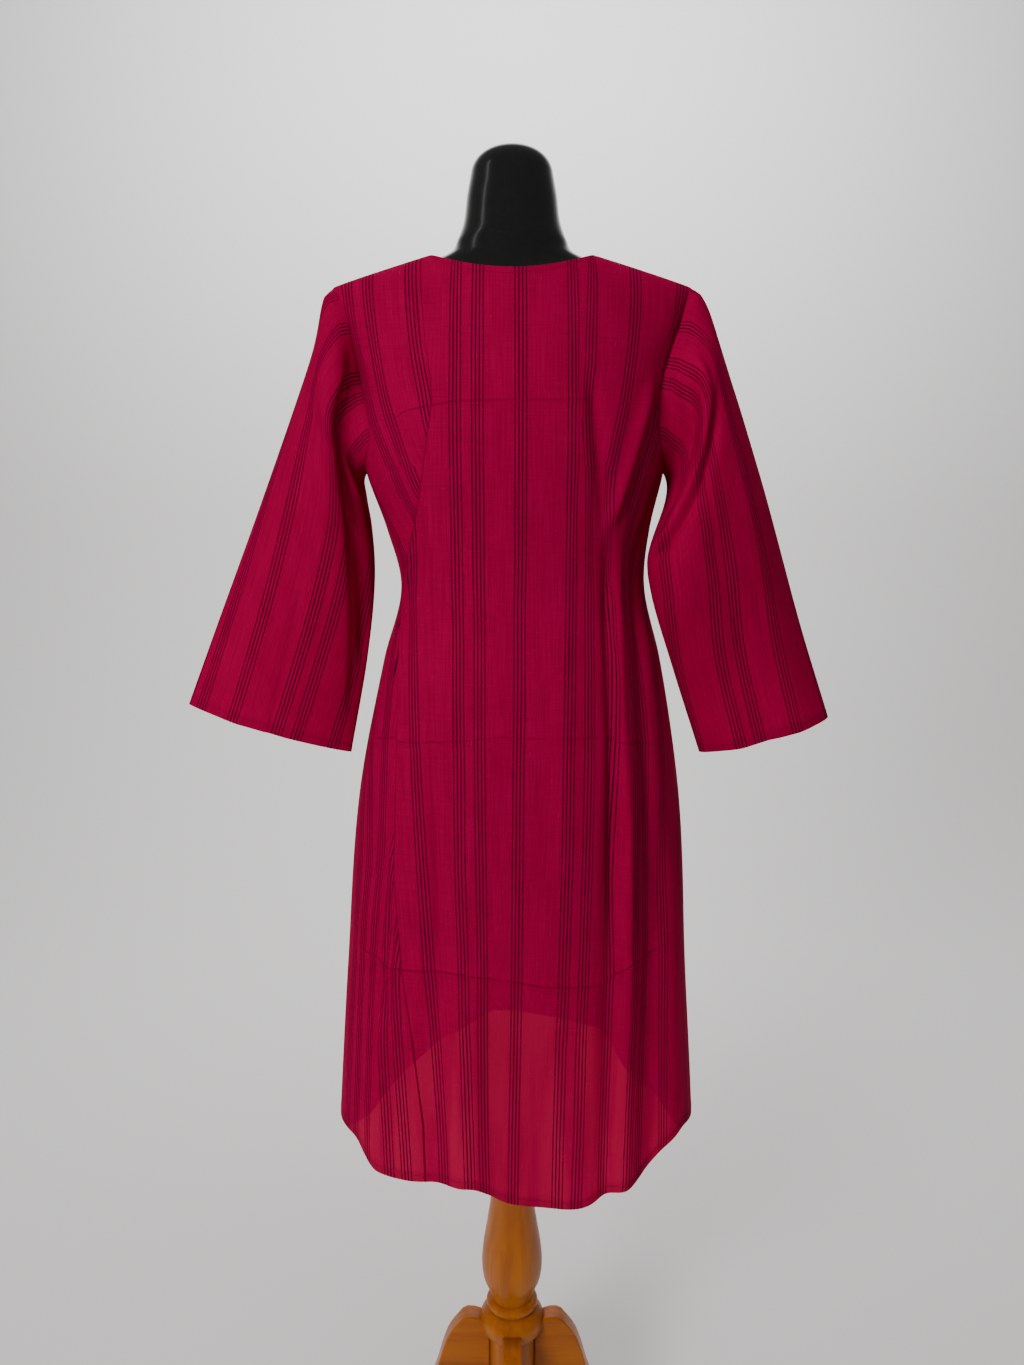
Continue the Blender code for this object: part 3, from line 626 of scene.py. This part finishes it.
def back_panel():
    """The back's outer face and cut places, with the lapped fold beside the waist."""
    level = row_levels()
    dense = np.linspace(-1, 1, 801)
    x, z = flat_places(BACK, np.tile(dense, (len(level), 1)), level)
    lap_across = lap_place(x, z, dense)[:, None]
    left = -1 + (lap_across + 1) * grade(LEFT_COLUMNS, 0.5)[None, :]
    middle = np.tile(lap_across, (1, len(LAPS)))
    right = lap_across + (1 - lap_across) * grade(RIGHT_COLUMNS, 0.45)[None, :]
    across = np.hstack([left, middle, right])
    x, z = flat_places(BACK, across, level)
    y, out_x, out_y, lift = rounded(BACK, x, z)
    run = run_of(np.stack([x, y, z], axis=-1), 1)
    split = LEFT_COLUMNS + 1
    cut_left, cut_right = cut_across(x, z, run, x[:, split])
    cut = np.hstack([
        cut_left[:, :split],
        np.zeros((len(level), len(LAPS))),
        cut_right[:, split + len(LAPS):],
    ])
    hold = straight(HOLD, "share", z)
    off = run - run[:, split:split + 1]
    rise = fold_rise(BACK, x, z) + crease_rise(BACK, x, z)
    rise += soft_waves(3, x, z, 0.45 * MM)
    rise *= 1 - np.abs(across) ** 6
    side = np.where(off < 0, -1.3 * MM * np.exp(off / (9 * MM)), 1.1 * MM * np.exp(-off / (22 * MM)))
    out = side * hold
    along = np.zeros_like(x)
    for k, lap in enumerate(LAPS):
        column = split + k
        spare = 0.03 * MM * (k - len(LAPS) / 2)
        along[:, column] = lap.along * MM * hold[:, column] + spare
        out[:, column] = lap.out * MM * hold[:, column]
        start, end = cut_left[:, split - 1], cut_right[:, split + len(LAPS)]
        cut[:, column] = start + (end - start) * lap.share
    rise = (rise + out) * (1 - lift**4)
    points = np.stack([x + rise * out_x - along * out_y, y + rise * out_y + along * out_x, z], axis=-1)
    dip_seams(points, out_x, out_y, lift, level, across)
    return points, cut, across


def front_panel():
    """The front's outer face and cut places."""
    level = row_levels()
    across = np.tile(2 * grade(FRONT_COLUMNS, 0.5) - 1, (len(level), 1))
    x, z = flat_places(FRONT, across, level)
    y, out_x, out_y, lift = rounded(FRONT, x, z)
    run = run_of(np.stack([x, y, z], axis=-1), 1)
    middle = np.array([np.interp(0, row, there) for row, there in zip(x, run)])[:, None]
    rise = fold_rise(FRONT, x, z) + crease_rise(FRONT, x, z)
    rise += soft_waves(5, x, z, 0.5 * MM)
    rise *= (1 - np.abs(across) ** 6) * (1 - lift**4)
    points = np.stack([x + rise * out_x, y + rise * out_y, z], axis=-1)
    dip_seams(points, out_x, out_y, lift, level, across)
    return points, run - middle + FRONT_SHIFT, across


def squared(turn, power):
    """Cosine and sine of a turn, round at a power of 2 and squarer above it."""
    c, s = np.cos(turn), np.sin(turn)
    return np.sign(c) * np.abs(c) ** (2 / power), np.sign(s) * np.abs(s) ** (2 / power)


def sleeve_grid(side, back, front):
    """A plain sleeve from its armhole down, each column's turn and each row's place."""
    column = 0 if side == LEFT else -1
    down_back = back[SKIRT_ROWS:, column][::-1]
    up_front = front[SKIRT_ROWS:, column][1:-1]
    rings = [np.vstack([down_back, up_front])]
    count = len(rings[0])
    turn = np.linspace(0, 2 * math.pi, count, endpoint=False)
    for row in SLEEVE[side]:
        outward, back_way = squared(turn, row.power)
        x = (row.x_out + row.x_in) / 2 + outward * (row.x_out - row.x_in) / 2
        z = (row.z_out + row.z_in) / 2 + outward * (row.z_out - row.z_in) / 2
        middle = row.y + (row.y_in - row.y) * (1 - outward) / 2
        rings.append(np.stack([side * x, middle - back_way * row.depth, z], axis=-1))
    places = np.array([0.0] + [row.along for row in SLEEVE[side]])
    level = np.linspace(0, 1, SLEEVE_ROWS + 1)
    grid = curve_through(places, np.array(rings), level)
    order = np.arange(-count // 2, count // 2 + 1)
    degrees = order * 360 / count
    return grid[:, order], degrees[None, :], level[:, None]


def gather_rise(side, along, degrees):
    """How far a sleeve's folds lift the cloth at each point."""
    rise = np.zeros(np.broadcast(along, degrees).shape)
    for fold in GATHERS:
        if fold.side != side:
            continue
        share = (along - fold.a_top) / (fold.a_low - fold.a_top)
        curved = np.clip(share, 0, 1.2) ** fold.bend
        line = fold.turn_top + (fold.turn_low - fold.turn_top) * curved
        off = (degrees - line + 180) % 360 - 180
        width = np.where(off < 0, fold.before, fold.after)
        fade = ease(share * 4 + 0.2) * ease((1.1 - share) * 4)
        rise += fold.rise * fade * bell(off, width)
    return rise


def sleeve_panel(side, back, front):
    """A sleeve's outer face and cut places, from the underarm round by the back."""
    grid, degrees, along = sleeve_grid(side, back, front)
    normal = normals_of(grid, side)
    around = np.radians(degrees) * SLEEVE_RADIUS
    rise = gather_rise(side, along, degrees)
    rise += soft_waves(11 + side, around, along * 0.5, 0.7 * MM)
    rise *= ease(along / 0.06) * (1 - 0.85 * bell(np.abs(degrees) - 180, 14))
    head = ease(along / 0.03) * bell(np.clip(along - 0.035, 0, 1), 0.07)
    rise += SLEEVE_HEAD[side] * head * bell(degrees, HEAD_WIDTH)
    down = run_of(grid, 0)
    rise += 0.7 * MM * bell(down - 5 * MM, 3 * MM)
    grid = grid + normal * rise[..., None]
    run = run_of(grid, 1)
    top = run[:, degrees[0] == 0]
    return grid, (top - run) * side + SLEEVE_SHIFT[side], down


def normals_of(grid, sign):
    """Unit normals of a grid of points, outward by the sign."""
    by_row = np.gradient(grid, axis=0)
    by_column = np.gradient(grid, axis=1)
    return unit(np.cross(by_column, by_row) * sign)


def at_distance(grid, values, distance):
    """Values of a grid's points at a distance up each column from the first row."""
    near = 30
    run = run_of(grid[:near], 0)
    found = np.empty_like(values[0])
    for j in range(grid.shape[1]):
        for axis in range(3):
            found[j, axis] = np.interp(distance, run[:, j], values[:near, j, axis])
    return found


def turn_under(grid, cut, long, sign, width, radius):
    """Add a turned-in strip and its rounded edge before a grid's first row."""
    normal = normals_of(grid[:3], sign)[0]
    beyond = unit(grid[0] - grid[1])
    radius = np.broadcast_to(radius, len(grid[0]))[:, None]
    rows, longs = [], []
    for distance in np.linspace(width, 0, 6):
        rows.append(at_distance(grid, grid, distance) - normal * 2 * radius)
        longs.append(long[0] - distance - 2 * MM)
    for angle in (150, 115, 80, 45, 15):
        c, s = math.cos(math.radians(angle)), math.sin(math.radians(angle))
        rows.append(grid[0] - normal * radius * (1 - c) + beyond * radius * s)
        longs.append(long[0] - 2 * MM * angle / 180)
    cuts = np.tile(cut[:1], (len(rows), 1))
    return np.vstack([rows, grid]), np.vstack([cuts, cut]), np.vstack([longs, long])


def sheet_mesh(name, grid, cut, long, sign, mat):
    """A smooth mesh of a grid, with the cut's coordinates as its UV map."""
    rows, columns = grid.shape[:2]
    index = np.arange(rows * columns).reshape(rows, columns)
    corners = [index[:-1, :-1], index[:-1, 1:], index[1:, 1:], index[1:, :-1]]
    faces = np.stack(corners, axis=-1).reshape(-1, 4)
    if sign < 0:
        faces = faces[:, ::-1]
    mesh = bpy.data.meshes.new(name)
    mesh.from_pydata(grid.reshape(-1, 3).tolist(), [], faces.tolist())
    layer = mesh.uv_layers.new(name="Thread")
    flat = np.stack([cut.reshape(-1), long.reshape(-1)], axis=-1)
    order = np.empty(len(mesh.loops), dtype=np.int32)
    mesh.loops.foreach_get("vertex_index", order)
    layer.data.foreach_set("uv", flat[order].astype(np.float32).reshape(-1))
    mesh.shade_smooth()
    return place_mesh(name, mesh, mat)


def place_mesh(name, mesh, mat):
    """An object of a mesh and its material."""
    mesh.materials.append(mat)
    item = bpy.data.objects.new(name, mesh)
    bpy.context.scene.collection.objects.link(item)
    return item


def stitch_line(path, normal):
    """Points and faces of small stitches set along a path."""
    run = run_of(path, 0)
    length = STITCH_LENGTH
    points, faces = [], []
    for at in np.arange(STITCH_PITCH / 2, run[-1] - STITCH_PITCH / 2, STITCH_PITCH):
        here = np.array([np.interp(at, run, path[:, k]) for k in range(3)])
        after = np.array([np.interp(at + length / 2, run, path[:, k]) for k in range(3)])
        up = np.array([np.interp(at, run, normal[:, k]) for k in range(3)])
        way = after - here
        if np.linalg.norm(way) < 1e-6:
            continue
        way = unit(way)
        over = np.cross(way, up)
        first = len(points)
        here = here + up * 0.12 * MM
        points.append(here - way * length / 2 - up * 0.2 * MM)
        for share in (-0.28, 0.28):
            for side, lift in ((1, 0), (0, 1), (-1, 0), (0, -1)):
                points.append(here + way * length * share + (over * side + up * lift) * STITCH_ROUND)
        points.append(here + way * length / 2 - up * 0.2 * MM)
        for k in range(4):
            m = (k + 1) % 4
            faces.append((first, first + 1 + k, first + 1 + m))
            faces.append((first + 1 + k, first + 5 + k, first + 5 + m, first + 1 + m))
            faces.append((first + 9, first + 5 + m, first + 5 + k))
    return points, faces


def stitches(name, lines, mat):
    """One mesh of all the stitches along several paths."""
    points, faces = [], []
    for path, normal in lines:
        more, rings = stitch_line(path, normal)
        faces += [tuple(len(points) + corner for corner in ring) for ring in rings]
        points += more
    return solid(name, points, faces, mat)


def solid(name, points, faces, mat):
    """An object of a closed mesh, turned outward, with its sharp edges kept."""
    mesh = bpy.data.meshes.new(name)
    mesh.from_pydata([tuple(p) for p in points], [], faces)
    shape = bmesh.new()
    shape.from_mesh(mesh)
    bmesh.ops.recalc_face_normals(shape, faces=shape.faces)
    shape.to_mesh(mesh)
    shape.free()
    mesh.shade_smooth()
    mesh.set_sharp_from_angle(angle=math.radians(40))
    return place_mesh(name, mesh, mat)


def ring_faces(rows, sides):
    """Faces between closed rings of points, with flat caps."""
    faces = []
    for i in range(rows - 1):
        for j in range(sides):
            k = (j + 1) % sides
            faces.append((i * sides + j, i * sides + k, (i + 1) * sides + k, (i + 1) * sides + j))
    faces.append(tuple(range(sides))[::-1])
    faces.append(tuple((rows - 1) * sides + j for j in range(sides)))
    return faces


def turned(name, profile, sides, mat):
    """A turned solid from rows of height and radius."""
    points = []
    for z, radius in profile:
        for j in range(sides):
            turn = 2 * math.pi * j / sides
            points.append((radius * math.cos(turn), radius * math.sin(turn), z))
    return solid(name, points, ring_faces(len(profile), sides), mat)


class Value:
    """A number, colour or vector that a material's nodes work out."""

    def __init__(self, nodes, socket):
        self.nodes = nodes
        self.socket = socket

    def __add__(self, other):
        return self.nodes.math("ADD", self, other)

    def __sub__(self, other):
        return self.nodes.math("SUBTRACT", self, other)

    def __rsub__(self, other):
        return self.nodes.math("SUBTRACT", other, self)

    def __mul__(self, other):
        return self.nodes.math("MULTIPLY", self, other)

    def __truediv__(self, other):
        return self.nodes.math("DIVIDE", self, other)

    def __mod__(self, other):
        return self.nodes.math("FLOORED_MODULO", self, other)

    def __abs__(self):
        return self.nodes.math("ABSOLUTE", self)

    def most(self, other):
        """The larger of two numbers."""
        return self.nodes.math("MAXIMUM", self, other)


class Nodes:
    """Short calls for one material's nodes."""

    def __init__(self, name):
        self.mat = bpy.data.materials.new(name)
        self.mat.use_nodes = True
        self.tree = self.mat.node_tree
        self.shader = self.tree.nodes["Principled BSDF"]

    def link(self, value, socket):
        """Set a socket from a value, a colour or a number."""
        if isinstance(value, Value):
            self.tree.links.new(value.socket, socket)
        elif isinstance(value, tuple):
            socket.default_value = (*value, 1)
        else:
            socket.default_value = value

    def add(self, kind, inputs, output=0, **settings):
        """A node with its settings and inputs, as the value that it gives."""
        node = self.tree.nodes.new("ShaderNode" + kind)
        for name, value in settings.items():
            setattr(node, name, value)
        for key, value in inputs.items():
            self.link(value, node.inputs[key])
        return Value(self, node.outputs[output])

    def math(self, operation, *values):
        """A maths node's result."""
        return self.add("Math", dict(enumerate(values)), operation=operation)

    def split(self, point):
        """The three numbers of a point."""
        node = self.tree.nodes.new("ShaderNodeSeparateXYZ")
        self.link(point, node.inputs[0])
        return [Value(self, socket) for socket in node.outputs]

    def uv(self, name):
        """The two numbers of a UV map."""
        return self.split(self.add("UVMap", {}, uv_map=name))[:2]

    def place(self):
        """The three numbers of a point in its object."""
        return self.split(self.add("TexCoord", {}, "Object"))

    def noise(self, x, y, z, detail=2.0, rough=0.5):
        """Noise from 0 to 1 at a point."""
        point = self.add("CombineXYZ", {0: x, 1: y, 2: z})
        inputs = {"Vector": point, "Scale": 1.0, "Detail": detail, "Roughness": rough}
        return self.add("TexNoise", inputs)

    def step(self, value, low, high):
        """0 to 1 as a value goes from low to high, softly."""
        return self.add("MapRange", {0: value, 1: low, 2: high}, interpolation_type="SMOOTHSTEP")

    def mix(self, share, first, second):
        """A mix of two colours."""
        return self.add("Mix", {0: share, 6: first, 7: second}, 2, data_type="RGBA")

    def curve(self, value, points):
        """A value from 0 to 1 put through straight lines between points."""
        node = self.tree.nodes.new("ShaderNodeFloatCurve")
        line = node.mapping.curves[0]
        line.points[0].location = points[0]
        line.points[1].location = points[-1]
        for point in points[1:-1]:
            line.points.new(*point)
        for point in line.points:
            point.handle_type = "VECTOR"
        node.mapping.update()
        self.link(value, node.inputs["Value"])
        return Value(self, node.outputs[0])

    def bump(self, height, distance, strength):
        """A bump from a height."""
        return self.add("Bump", {"Strength": strength, "Distance": distance, "Height": height})

    def shade(self, values):
        """Set the shader's sockets by their names and give the material back."""
        for name, value in values.items():
            self.link(value, self.shader.inputs[name])
        return self.mat


def stripe_lines(n, across, along):
    """1 on the thin dark lines and 0 between them. The outer lines are dotted."""
    dotted = n.step(n.noise(across * 260, along * 480, 2.0, 1.0), 0.34, 0.50)
    half = REPEAT / 2
    lines = []
    for offset in GROUPS:
        off = abs((across - (offset - half)) % REPEAT - half)
        near = abs(abs(off - LINE_PITCH) - LINE_PITCH / 2)
        line = n.step(near, LINE_HALF * 1.35, LINE_HALF * 0.55)
        outer = n.step(off, LINE_PITCH * 0.9, LINE_PITCH * 1.1)
        lines.append(line * (1 - outer * (1 - dotted) * 0.55))
    return reduce(Value.most, lines)


def line_height(n, x, line, low, high):
    """Height at each x of a line set by its points, within a low and a high limit."""
    points = []
    for place, level in line:
        points.append((place / (2 * LINE_REACH) + 0.5, (level - low) / (high - low)))
    return n.curve(x / (2 * LINE_REACH) + 0.5, points) * (high - low) + low


def crease_lines(n):
    """1 along the pressed creases and 0 away from them."""
    x, y, z = n.place()
    uneven = n.step(n.noise(x * 55, 3.0, z * 55), 0.20, 0.55)
    marks = []
    for panel, height, line in CREASES:
        off = abs(z - line_height(n, x, line, CREASE_LOW, CREASE_HIGH))
        mark = n.step(off, CREASE_WIDTH * 1.6, CREASE_WIDTH * 0.1)
        mark = mark * n.step(x, line[0][0] - 4 * MM, line[0][0] + 12 * MM)
        mark = mark * n.step(x, line[-1][0] + 4 * MM, line[-1][0] - 12 * MM)
        mark = mark * n.step(y, -panel * 4 * MM, panel * 4 * MM)
        marks.append(mark * uneven * (height / CREASE_DEEPEST))
    return reduce(Value.most, marks)


def painted_backlight_mask(n, across, along):
    """Painted backlight: 1 on the back below the front's arched hem, uneven from band to band."""
    x, y, z = n.place()
    below = line_height(n, x, ARCH, ARCH_LOW, ARCH_HIGH) - z
    mark = n.step(below, -1.5 * MM, 1.5 * MM) * n.step(y, 4 * MM, -4 * MM)
    bands = n.noise(across * 34, along * 5, 12.0, 1.0)
    return mark * (n.step(bands, 0.35, 0.62) * 0.65 + 0.35)


def cloth_material():
    """Sheer handloom cotton with groups of thin dark lines along its cut."""
    n = Nodes("cloth_striped")
    across, along = n.uv("Thread")
    streak = n.noise(across * 700, along * 14, 0.0, 3.0)
    weft = n.noise(across * 22, along * 900, 4.0, 2.0)
    cloudy = n.noise(across * 30, along * 18, 9.0, 2.0)
    slub = n.noise(across * 620, along * 75, 6.0, 1.0)
    fleck = n.noise(across * 110, along * 700, 8.0, 1.0)
    weave = streak * 0.50 + weft * 0.28 + cloudy * 0.22
    raised = n.step(slub, 0.66, 0.80).most(n.step(fleck, 0.68, 0.82))
    creases = crease_lines(n)
    color = n.mix(n.step(weave, 0.32, 0.68), CLOTH_DEEP, CLOTH_LIGHT)
    color = n.mix(raised * 0.45, color, CLOTH_SLUB)
    # painted backlight: the back is painted lighter below the front's arched hem
    color = n.mix(painted_backlight_mask(n, across, along) * 0.55, color, CLOTH_PAINTED_BACKLIGHT)
    color = n.mix(stripe_lines(n, across, along), color, STRIPE)
    # painted shade along the pressed creases
    color = n.mix(creases * 0.42, color, CREASE_PAINTED_SHADE)
    n.shade({
        "Base Color": color,
        "Roughness": 0.95,
        "Specular IOR Level": 0.04,
        "Sheen Weight": 0.06,
        "Sheen Roughness": 0.45,
        "Sheen Tint": (1.0, 0.04, 0.25),
        "Normal": n.bump(weave + raised * 0.5 - creases * 1.6, 0.5 * MM, 0.7),
    })
    front = Value(n, n.shader.outputs[0])
    through = n.add("BsdfTranslucent", {"Color": color})
    both = n.add("MixShader", {0: SHEER_SHARE, 1: front, 2: through})
    n.link(both, n.tree.nodes["Material Output"].inputs["Surface"])
    return n.mat


def thread_material():
    """Sewing thread."""
    n = Nodes("sewing_thread")
    grain = n.noise(*[value * 900 for value in n.place()])
    return n.shade({"Base Color": n.mix(grain, STRIPE, THREAD), "Roughness": 0.7})


def form_material():
    """Polished black moulded form."""
    n = Nodes("form_gloss_black")
    place = n.place()
    ripple = n.noise(*[value * 26 for value in place])
    dust = n.noise(*[value * 700 for value in place])
    return n.shade({
        "Base Color": n.mix(n.step(dust, 0.45, 0.75), FORM_BLACK, FORM_DUST),
        "Roughness": 0.24,
        "Coat Weight": 0.35,
        "Coat Roughness": 0.14,
        "Normal": n.bump(ripple, 0.6 * MM, 0.2),
    })


def grain_noise(n, axis, across, along, detail, rough=0.5):
    """Noise drawn out along one axis, by its waves a metre across and along it."""
    scales = [across] * 3
    scales[axis] = along
    return n.noise(*[value * scale for value, scale in zip(n.place(), scales)], detail, rough)


def wood_material(name, axis):
    """Amber varnished hardwood with its grain along one axis."""
    n = Nodes(name)
    grain = grain_noise(n, axis, 150, 7, 4.0, 0.6) * 0.45 + grain_noise(n, axis, 34, 3, 2.0) * 0.55
    pores = n.step(grain_noise(n, axis, 240, 70, 1.0), 0.76, 0.84)
    color = n.mix(n.step(grain, 0.22, 0.72), WOOD_DEEP, WOOD_LIGHT)
    return n.shade({
        "Base Color": n.mix(pores * 0.7, color, WOOD_PORE),
        "Roughness": 0.42,
        "Specular IOR Level": 0.30,
        "Coat Weight": 0.12,
        "Coat Roughness": 0.16,
        "Normal": n.bump(grain, 0.2 * MM, 0.4),
    })


def stand_for(item, slot, *nodes):
    """Let a piece ride on the model and stand for CAD nodes, which it hides. Its slot is not used."""
    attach(item, "root")
    if nodes:
        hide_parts(*nodes)


def make_sheet(name, whole, sign, edges, cloth, thread):
    """One piece of cloth and the stitches that hold its turned edges."""
    item = sheet_mesh(f"{name}_cloth", *whole, sign, cloth)
    stand_for(item, "cloth", name)
    lines = []
    for grid, normal in edges:
        path = at_distance(grid, grid, STITCH_INSET)
        lines.append((path, unit(at_distance(grid, normal, STITCH_INSET))))
    sewn = stitches(f"{name}_sewing", lines, thread)
    stand_for(sewn, None)
    return item, sewn


def make_cloth():
    """The back, the front, two sleeves and their sewing."""
    cloth = cloth_material()
    thread = thread_material()
    back = back_panel()
    front = front_panel()
    pieces = {}
    for name, (grid, cut, across), sign in (("kurta_back", back, 1), ("kurta_front", front, -1)):
        neck = np.abs(across[-1]) < NECK_SHARE
        folded = turn_under(grid, cut, grid[..., 2], sign, HEM_TURN, HEM_ROUND)
        flipped = [part[::-1] for part in folded]
        folded = turn_under(*flipped, -sign, NECK_TURN, NECK_ROUND * np.where(neck, 1.0, 0.15))
        whole = [part[::-1] for part in folded]
        normal = normals_of(grid, sign)
        edges = [(grid, normal), (grid[::-1][:, neck], normal[::-1][:, neck])]
        pieces[name] = make_sheet(name, whole, sign, edges, cloth, thread)
    for name, side in (("sleeve_left", LEFT), ("sleeve_right", RIGHT)):
        grid, cut, down = sleeve_panel(side, back[0], front[0])
        folded = turn_under(grid[::-1], cut[::-1], down[::-1], -side, HEM_TURN, HEM_ROUND)
        whole = [part[::-1] for part in folded]
        edges = [(grid[::-1], normals_of(grid, side)[::-1])]
        pieces[name] = make_sheet(name, whole, side, edges, cloth, thread)
    return pieces


def make_form():
    """The form in fine rings up to its domed neck."""
    base, low = FORM[0].z, FORM[-1].z
    heights = np.concatenate([
        [base, base + 0.001],
        np.linspace(base + 0.003, FORM_SHOULDER, 90),
        np.linspace(FORM_SHOULDER + 0.0025, low, 60),
        low + (FORM_TOP - low) * np.sin(np.linspace(0.08, math.pi / 2 - 0.04, 18)),
    ])
    turn = np.linspace(0, 2 * math.pi, FORM_SIDES, endpoint=False)
    points = []
    for z in heights:
        half, back, front, power = (read(FORM, column, z) for column in FORM[0]._fields[1:])
        up = max(z - low, 0) / (FORM_TOP - low)
        share = (1 - up**DOME_POWER) ** (1 / 2) * (1 - 0.10 * up * (1 - up))
        c, s = squared(turn, power)
        x = share * half * c
        y = share * np.where(s > 0, front, back) * s
        points += zip(x, y, [z] * FORM_SIDES)
    item = solid("form_body", points, ring_faces(len(heights), FORM_SIDES), form_material())
    stand_for(item, "form", "form_torso")


def rounded_edge(middle, tall, radius, half, reach, count):
    """Heights and radii of a rounded edge that turns by reach degrees each way."""
    turns = np.radians(np.linspace(-reach, reach, count))
    return list(zip(middle + tall * np.sin(turns), radius - half + half * np.cos(turns)))


def eased_disc(low, top, radius, inset):
    """Heights and radii of a disc with its two edges eased."""
    edge = radius - inset
    return [(low, edge), (low + inset, radius), (top - inset, radius), (top, edge)]


def make_stand():
    """The turned post, its ring, the hub and four board legs."""
    upright = wood_material("wood_turned", 2)
    boards = wood_material("wood_board", 0)
    half = (BEAD_TOP - BEAD_LOW) / 2
    bead = rounded_edge(BEAD_LOW + half, half, BEAD_RADIUS, half, 80, 15)
    shaft = [(z, read(POST, "radius", z)) for z in np.linspace(POST[0].z, POST[-1].z, 90)]
    plate = [(PLATE_LOW - 1 * MM, PLATE_RADIUS - 4 * MM)]
    plate += eased_disc(PLATE_LOW, PLATE_TOP, PLATE_RADIUS, 1 * MM)
    stand_for(turned("post_turned", bead + shaft + plate, 64, upright), "wood", "post")
    tall = RING_HALF / math.sin(math.radians(70))
    ring = rounded_edge(RING_Z, tall, RING_RADIUS, RING_HALF, 70, 25)
    stand_for(turned("ring_turned", ring, 64, upright), "wood", "ring")
    hub = eased_disc(HUB_BOTTOM, HUB_TOP, HUB_RADIUS, 2 * MM)
    stand_for(turned("hub_turned", hub, 48, upright), "wood", "hub")
    for index in range(4):
        leg = board(f"leg_board_{index + 1}", boards)
        leg.rotation_euler.z = index * math.pi / 2
        stand_for(leg, "wood", f"leg_{index + 1}")


def smooth_run(points, count):
    """A rounder line through points."""
    points = np.array(points)
    run = run_of(points, 0)
    return [tuple(point) for point in curve_through(run, points, np.linspace(0, run[-1], count))]


def board(name, mat):
    """One leg along +X, with its edges eased."""
    outline = smooth_run(LEG_TOP, 40) + LEG_FOOT + smooth_run(LEG_ARCH, 26) + LEG_STEP
    points = [(r, side * LEG_THICK / 2, z) for side in (-1, 1) for r, z in outline]
    count = len(outline)
    faces = [tuple(range(count)), tuple(range(count, 2 * count))[::-1]]
    for k in range(count):
        m = (k + 1) % count
        faces.append((k, m, count + m, count + k))
    item = solid(name, points, faces, mat)
    bevel = item.modifiers.new("eased", "BEVEL")
    bevel.width = LEG_EASED
    bevel.segments = 3
    bevel.limit_method = "ANGLE"
    bevel.angle_limit = math.radians(50)
    return item


def make_floor():
    """A pale floor that sweeps up behind."""
    profile = [(FLOOR_NEAR, 0.0), (SWEEP_START, 0.0)]
    for angle in np.linspace(0, math.pi / 2, 14)[1:]:
        out, up = math.sin(angle), 1 - math.cos(angle)
        profile.append((SWEEP_START + SWEEP_RADIUS * out, SWEEP_RADIUS * up))
    profile.append((SWEEP_START + SWEEP_RADIUS, WALL_TOP))
    points, faces = [], []
    for y, z in profile:
        points += [(-FLOOR_HALF, y, z), (FLOOR_HALF, y, z)]
    for i in range(len(profile) - 1):
        faces.append((2 * i, 2 * i + 1, 2 * i + 3, 2 * i + 2))
    mesh = bpy.data.meshes.new("studio_floor")
    mesh.from_pydata(points, [], faces)
    mesh.shade_smooth()
    pale = Nodes("floor_pale").shade({"Base Color": FLOOR, "Roughness": 0.85})
    floor = place_mesh("studio_floor", mesh, pale)


def make_air():
    """Even light from all round, brighter where the camera sees it."""
    world = bpy.data.worlds.new("soft_room")
    world.use_nodes = True
    tree = world.node_tree
    background = tree.nodes["Background"]
    background.inputs[0].default_value = AIR_COLOR
    bright = tree.nodes.new("ShaderNodeMath")
    bright.operation = "MULTIPLY_ADD"
    seen = tree.nodes.new("ShaderNodeLightPath")
    tree.links.new(seen.outputs["Is Camera Ray"], bright.inputs[0])
    bright.inputs[1].default_value = AIR_BEHIND
    bright.inputs[2].default_value = AIR_LIGHT
    tree.links.new(bright.outputs[0], background.inputs[1])
    bpy.context.scene.world = world


def make_lamp(lamp):
    """A soft lamp that points at its target."""
    data = bpy.data.lights.new(lamp.name, "AREA")
    data.shape = "RECTANGLE"
    data.size, data.size_y = lamp.size
    data.energy = lamp.watts
    item = bpy.data.objects.new(lamp.name, data)
    setattr(item, lamp.unseen_by, False)
    way = unit(np.array(lamp.place) - np.array(lamp.target))
    side = unit(np.cross((0, 0, 1), way))
    up = np.cross(way, side)
    item.matrix_world = Matrix([*zip(side, up, way, lamp.place), (0, 0, 0, 1)])
    bpy.context.scene.collection.objects.link(item)


def make_camera():
    """The camera at the photo's angle."""
    data = bpy.data.cameras.new("photo_camera")
    data.sensor_fit = "VERTICAL"
    data.sensor_height = SENSOR
    data.lens = SENSOR * FOCAL_PIXELS / PHOTO_PIXELS
    camera = bpy.data.objects.new("photo_camera", data)
    camera.location = CAMERA_PLACE
    camera.rotation_euler = (CAMERA_TILT, 0, 0)
    bpy.context.scene.collection.objects.link(camera)
    bpy.context.scene.camera = camera


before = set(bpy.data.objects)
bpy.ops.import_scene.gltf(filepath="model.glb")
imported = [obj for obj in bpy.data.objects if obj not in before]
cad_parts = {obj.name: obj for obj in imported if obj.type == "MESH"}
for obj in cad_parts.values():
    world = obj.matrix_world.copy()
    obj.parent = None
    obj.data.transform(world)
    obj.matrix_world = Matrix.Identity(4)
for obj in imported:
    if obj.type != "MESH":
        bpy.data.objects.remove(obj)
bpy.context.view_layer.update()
pieces = make_cloth()
make_form()
make_stand()
make_floor()
for lamp in LAMPS:
    make_lamp(lamp)
make_air()
make_camera()
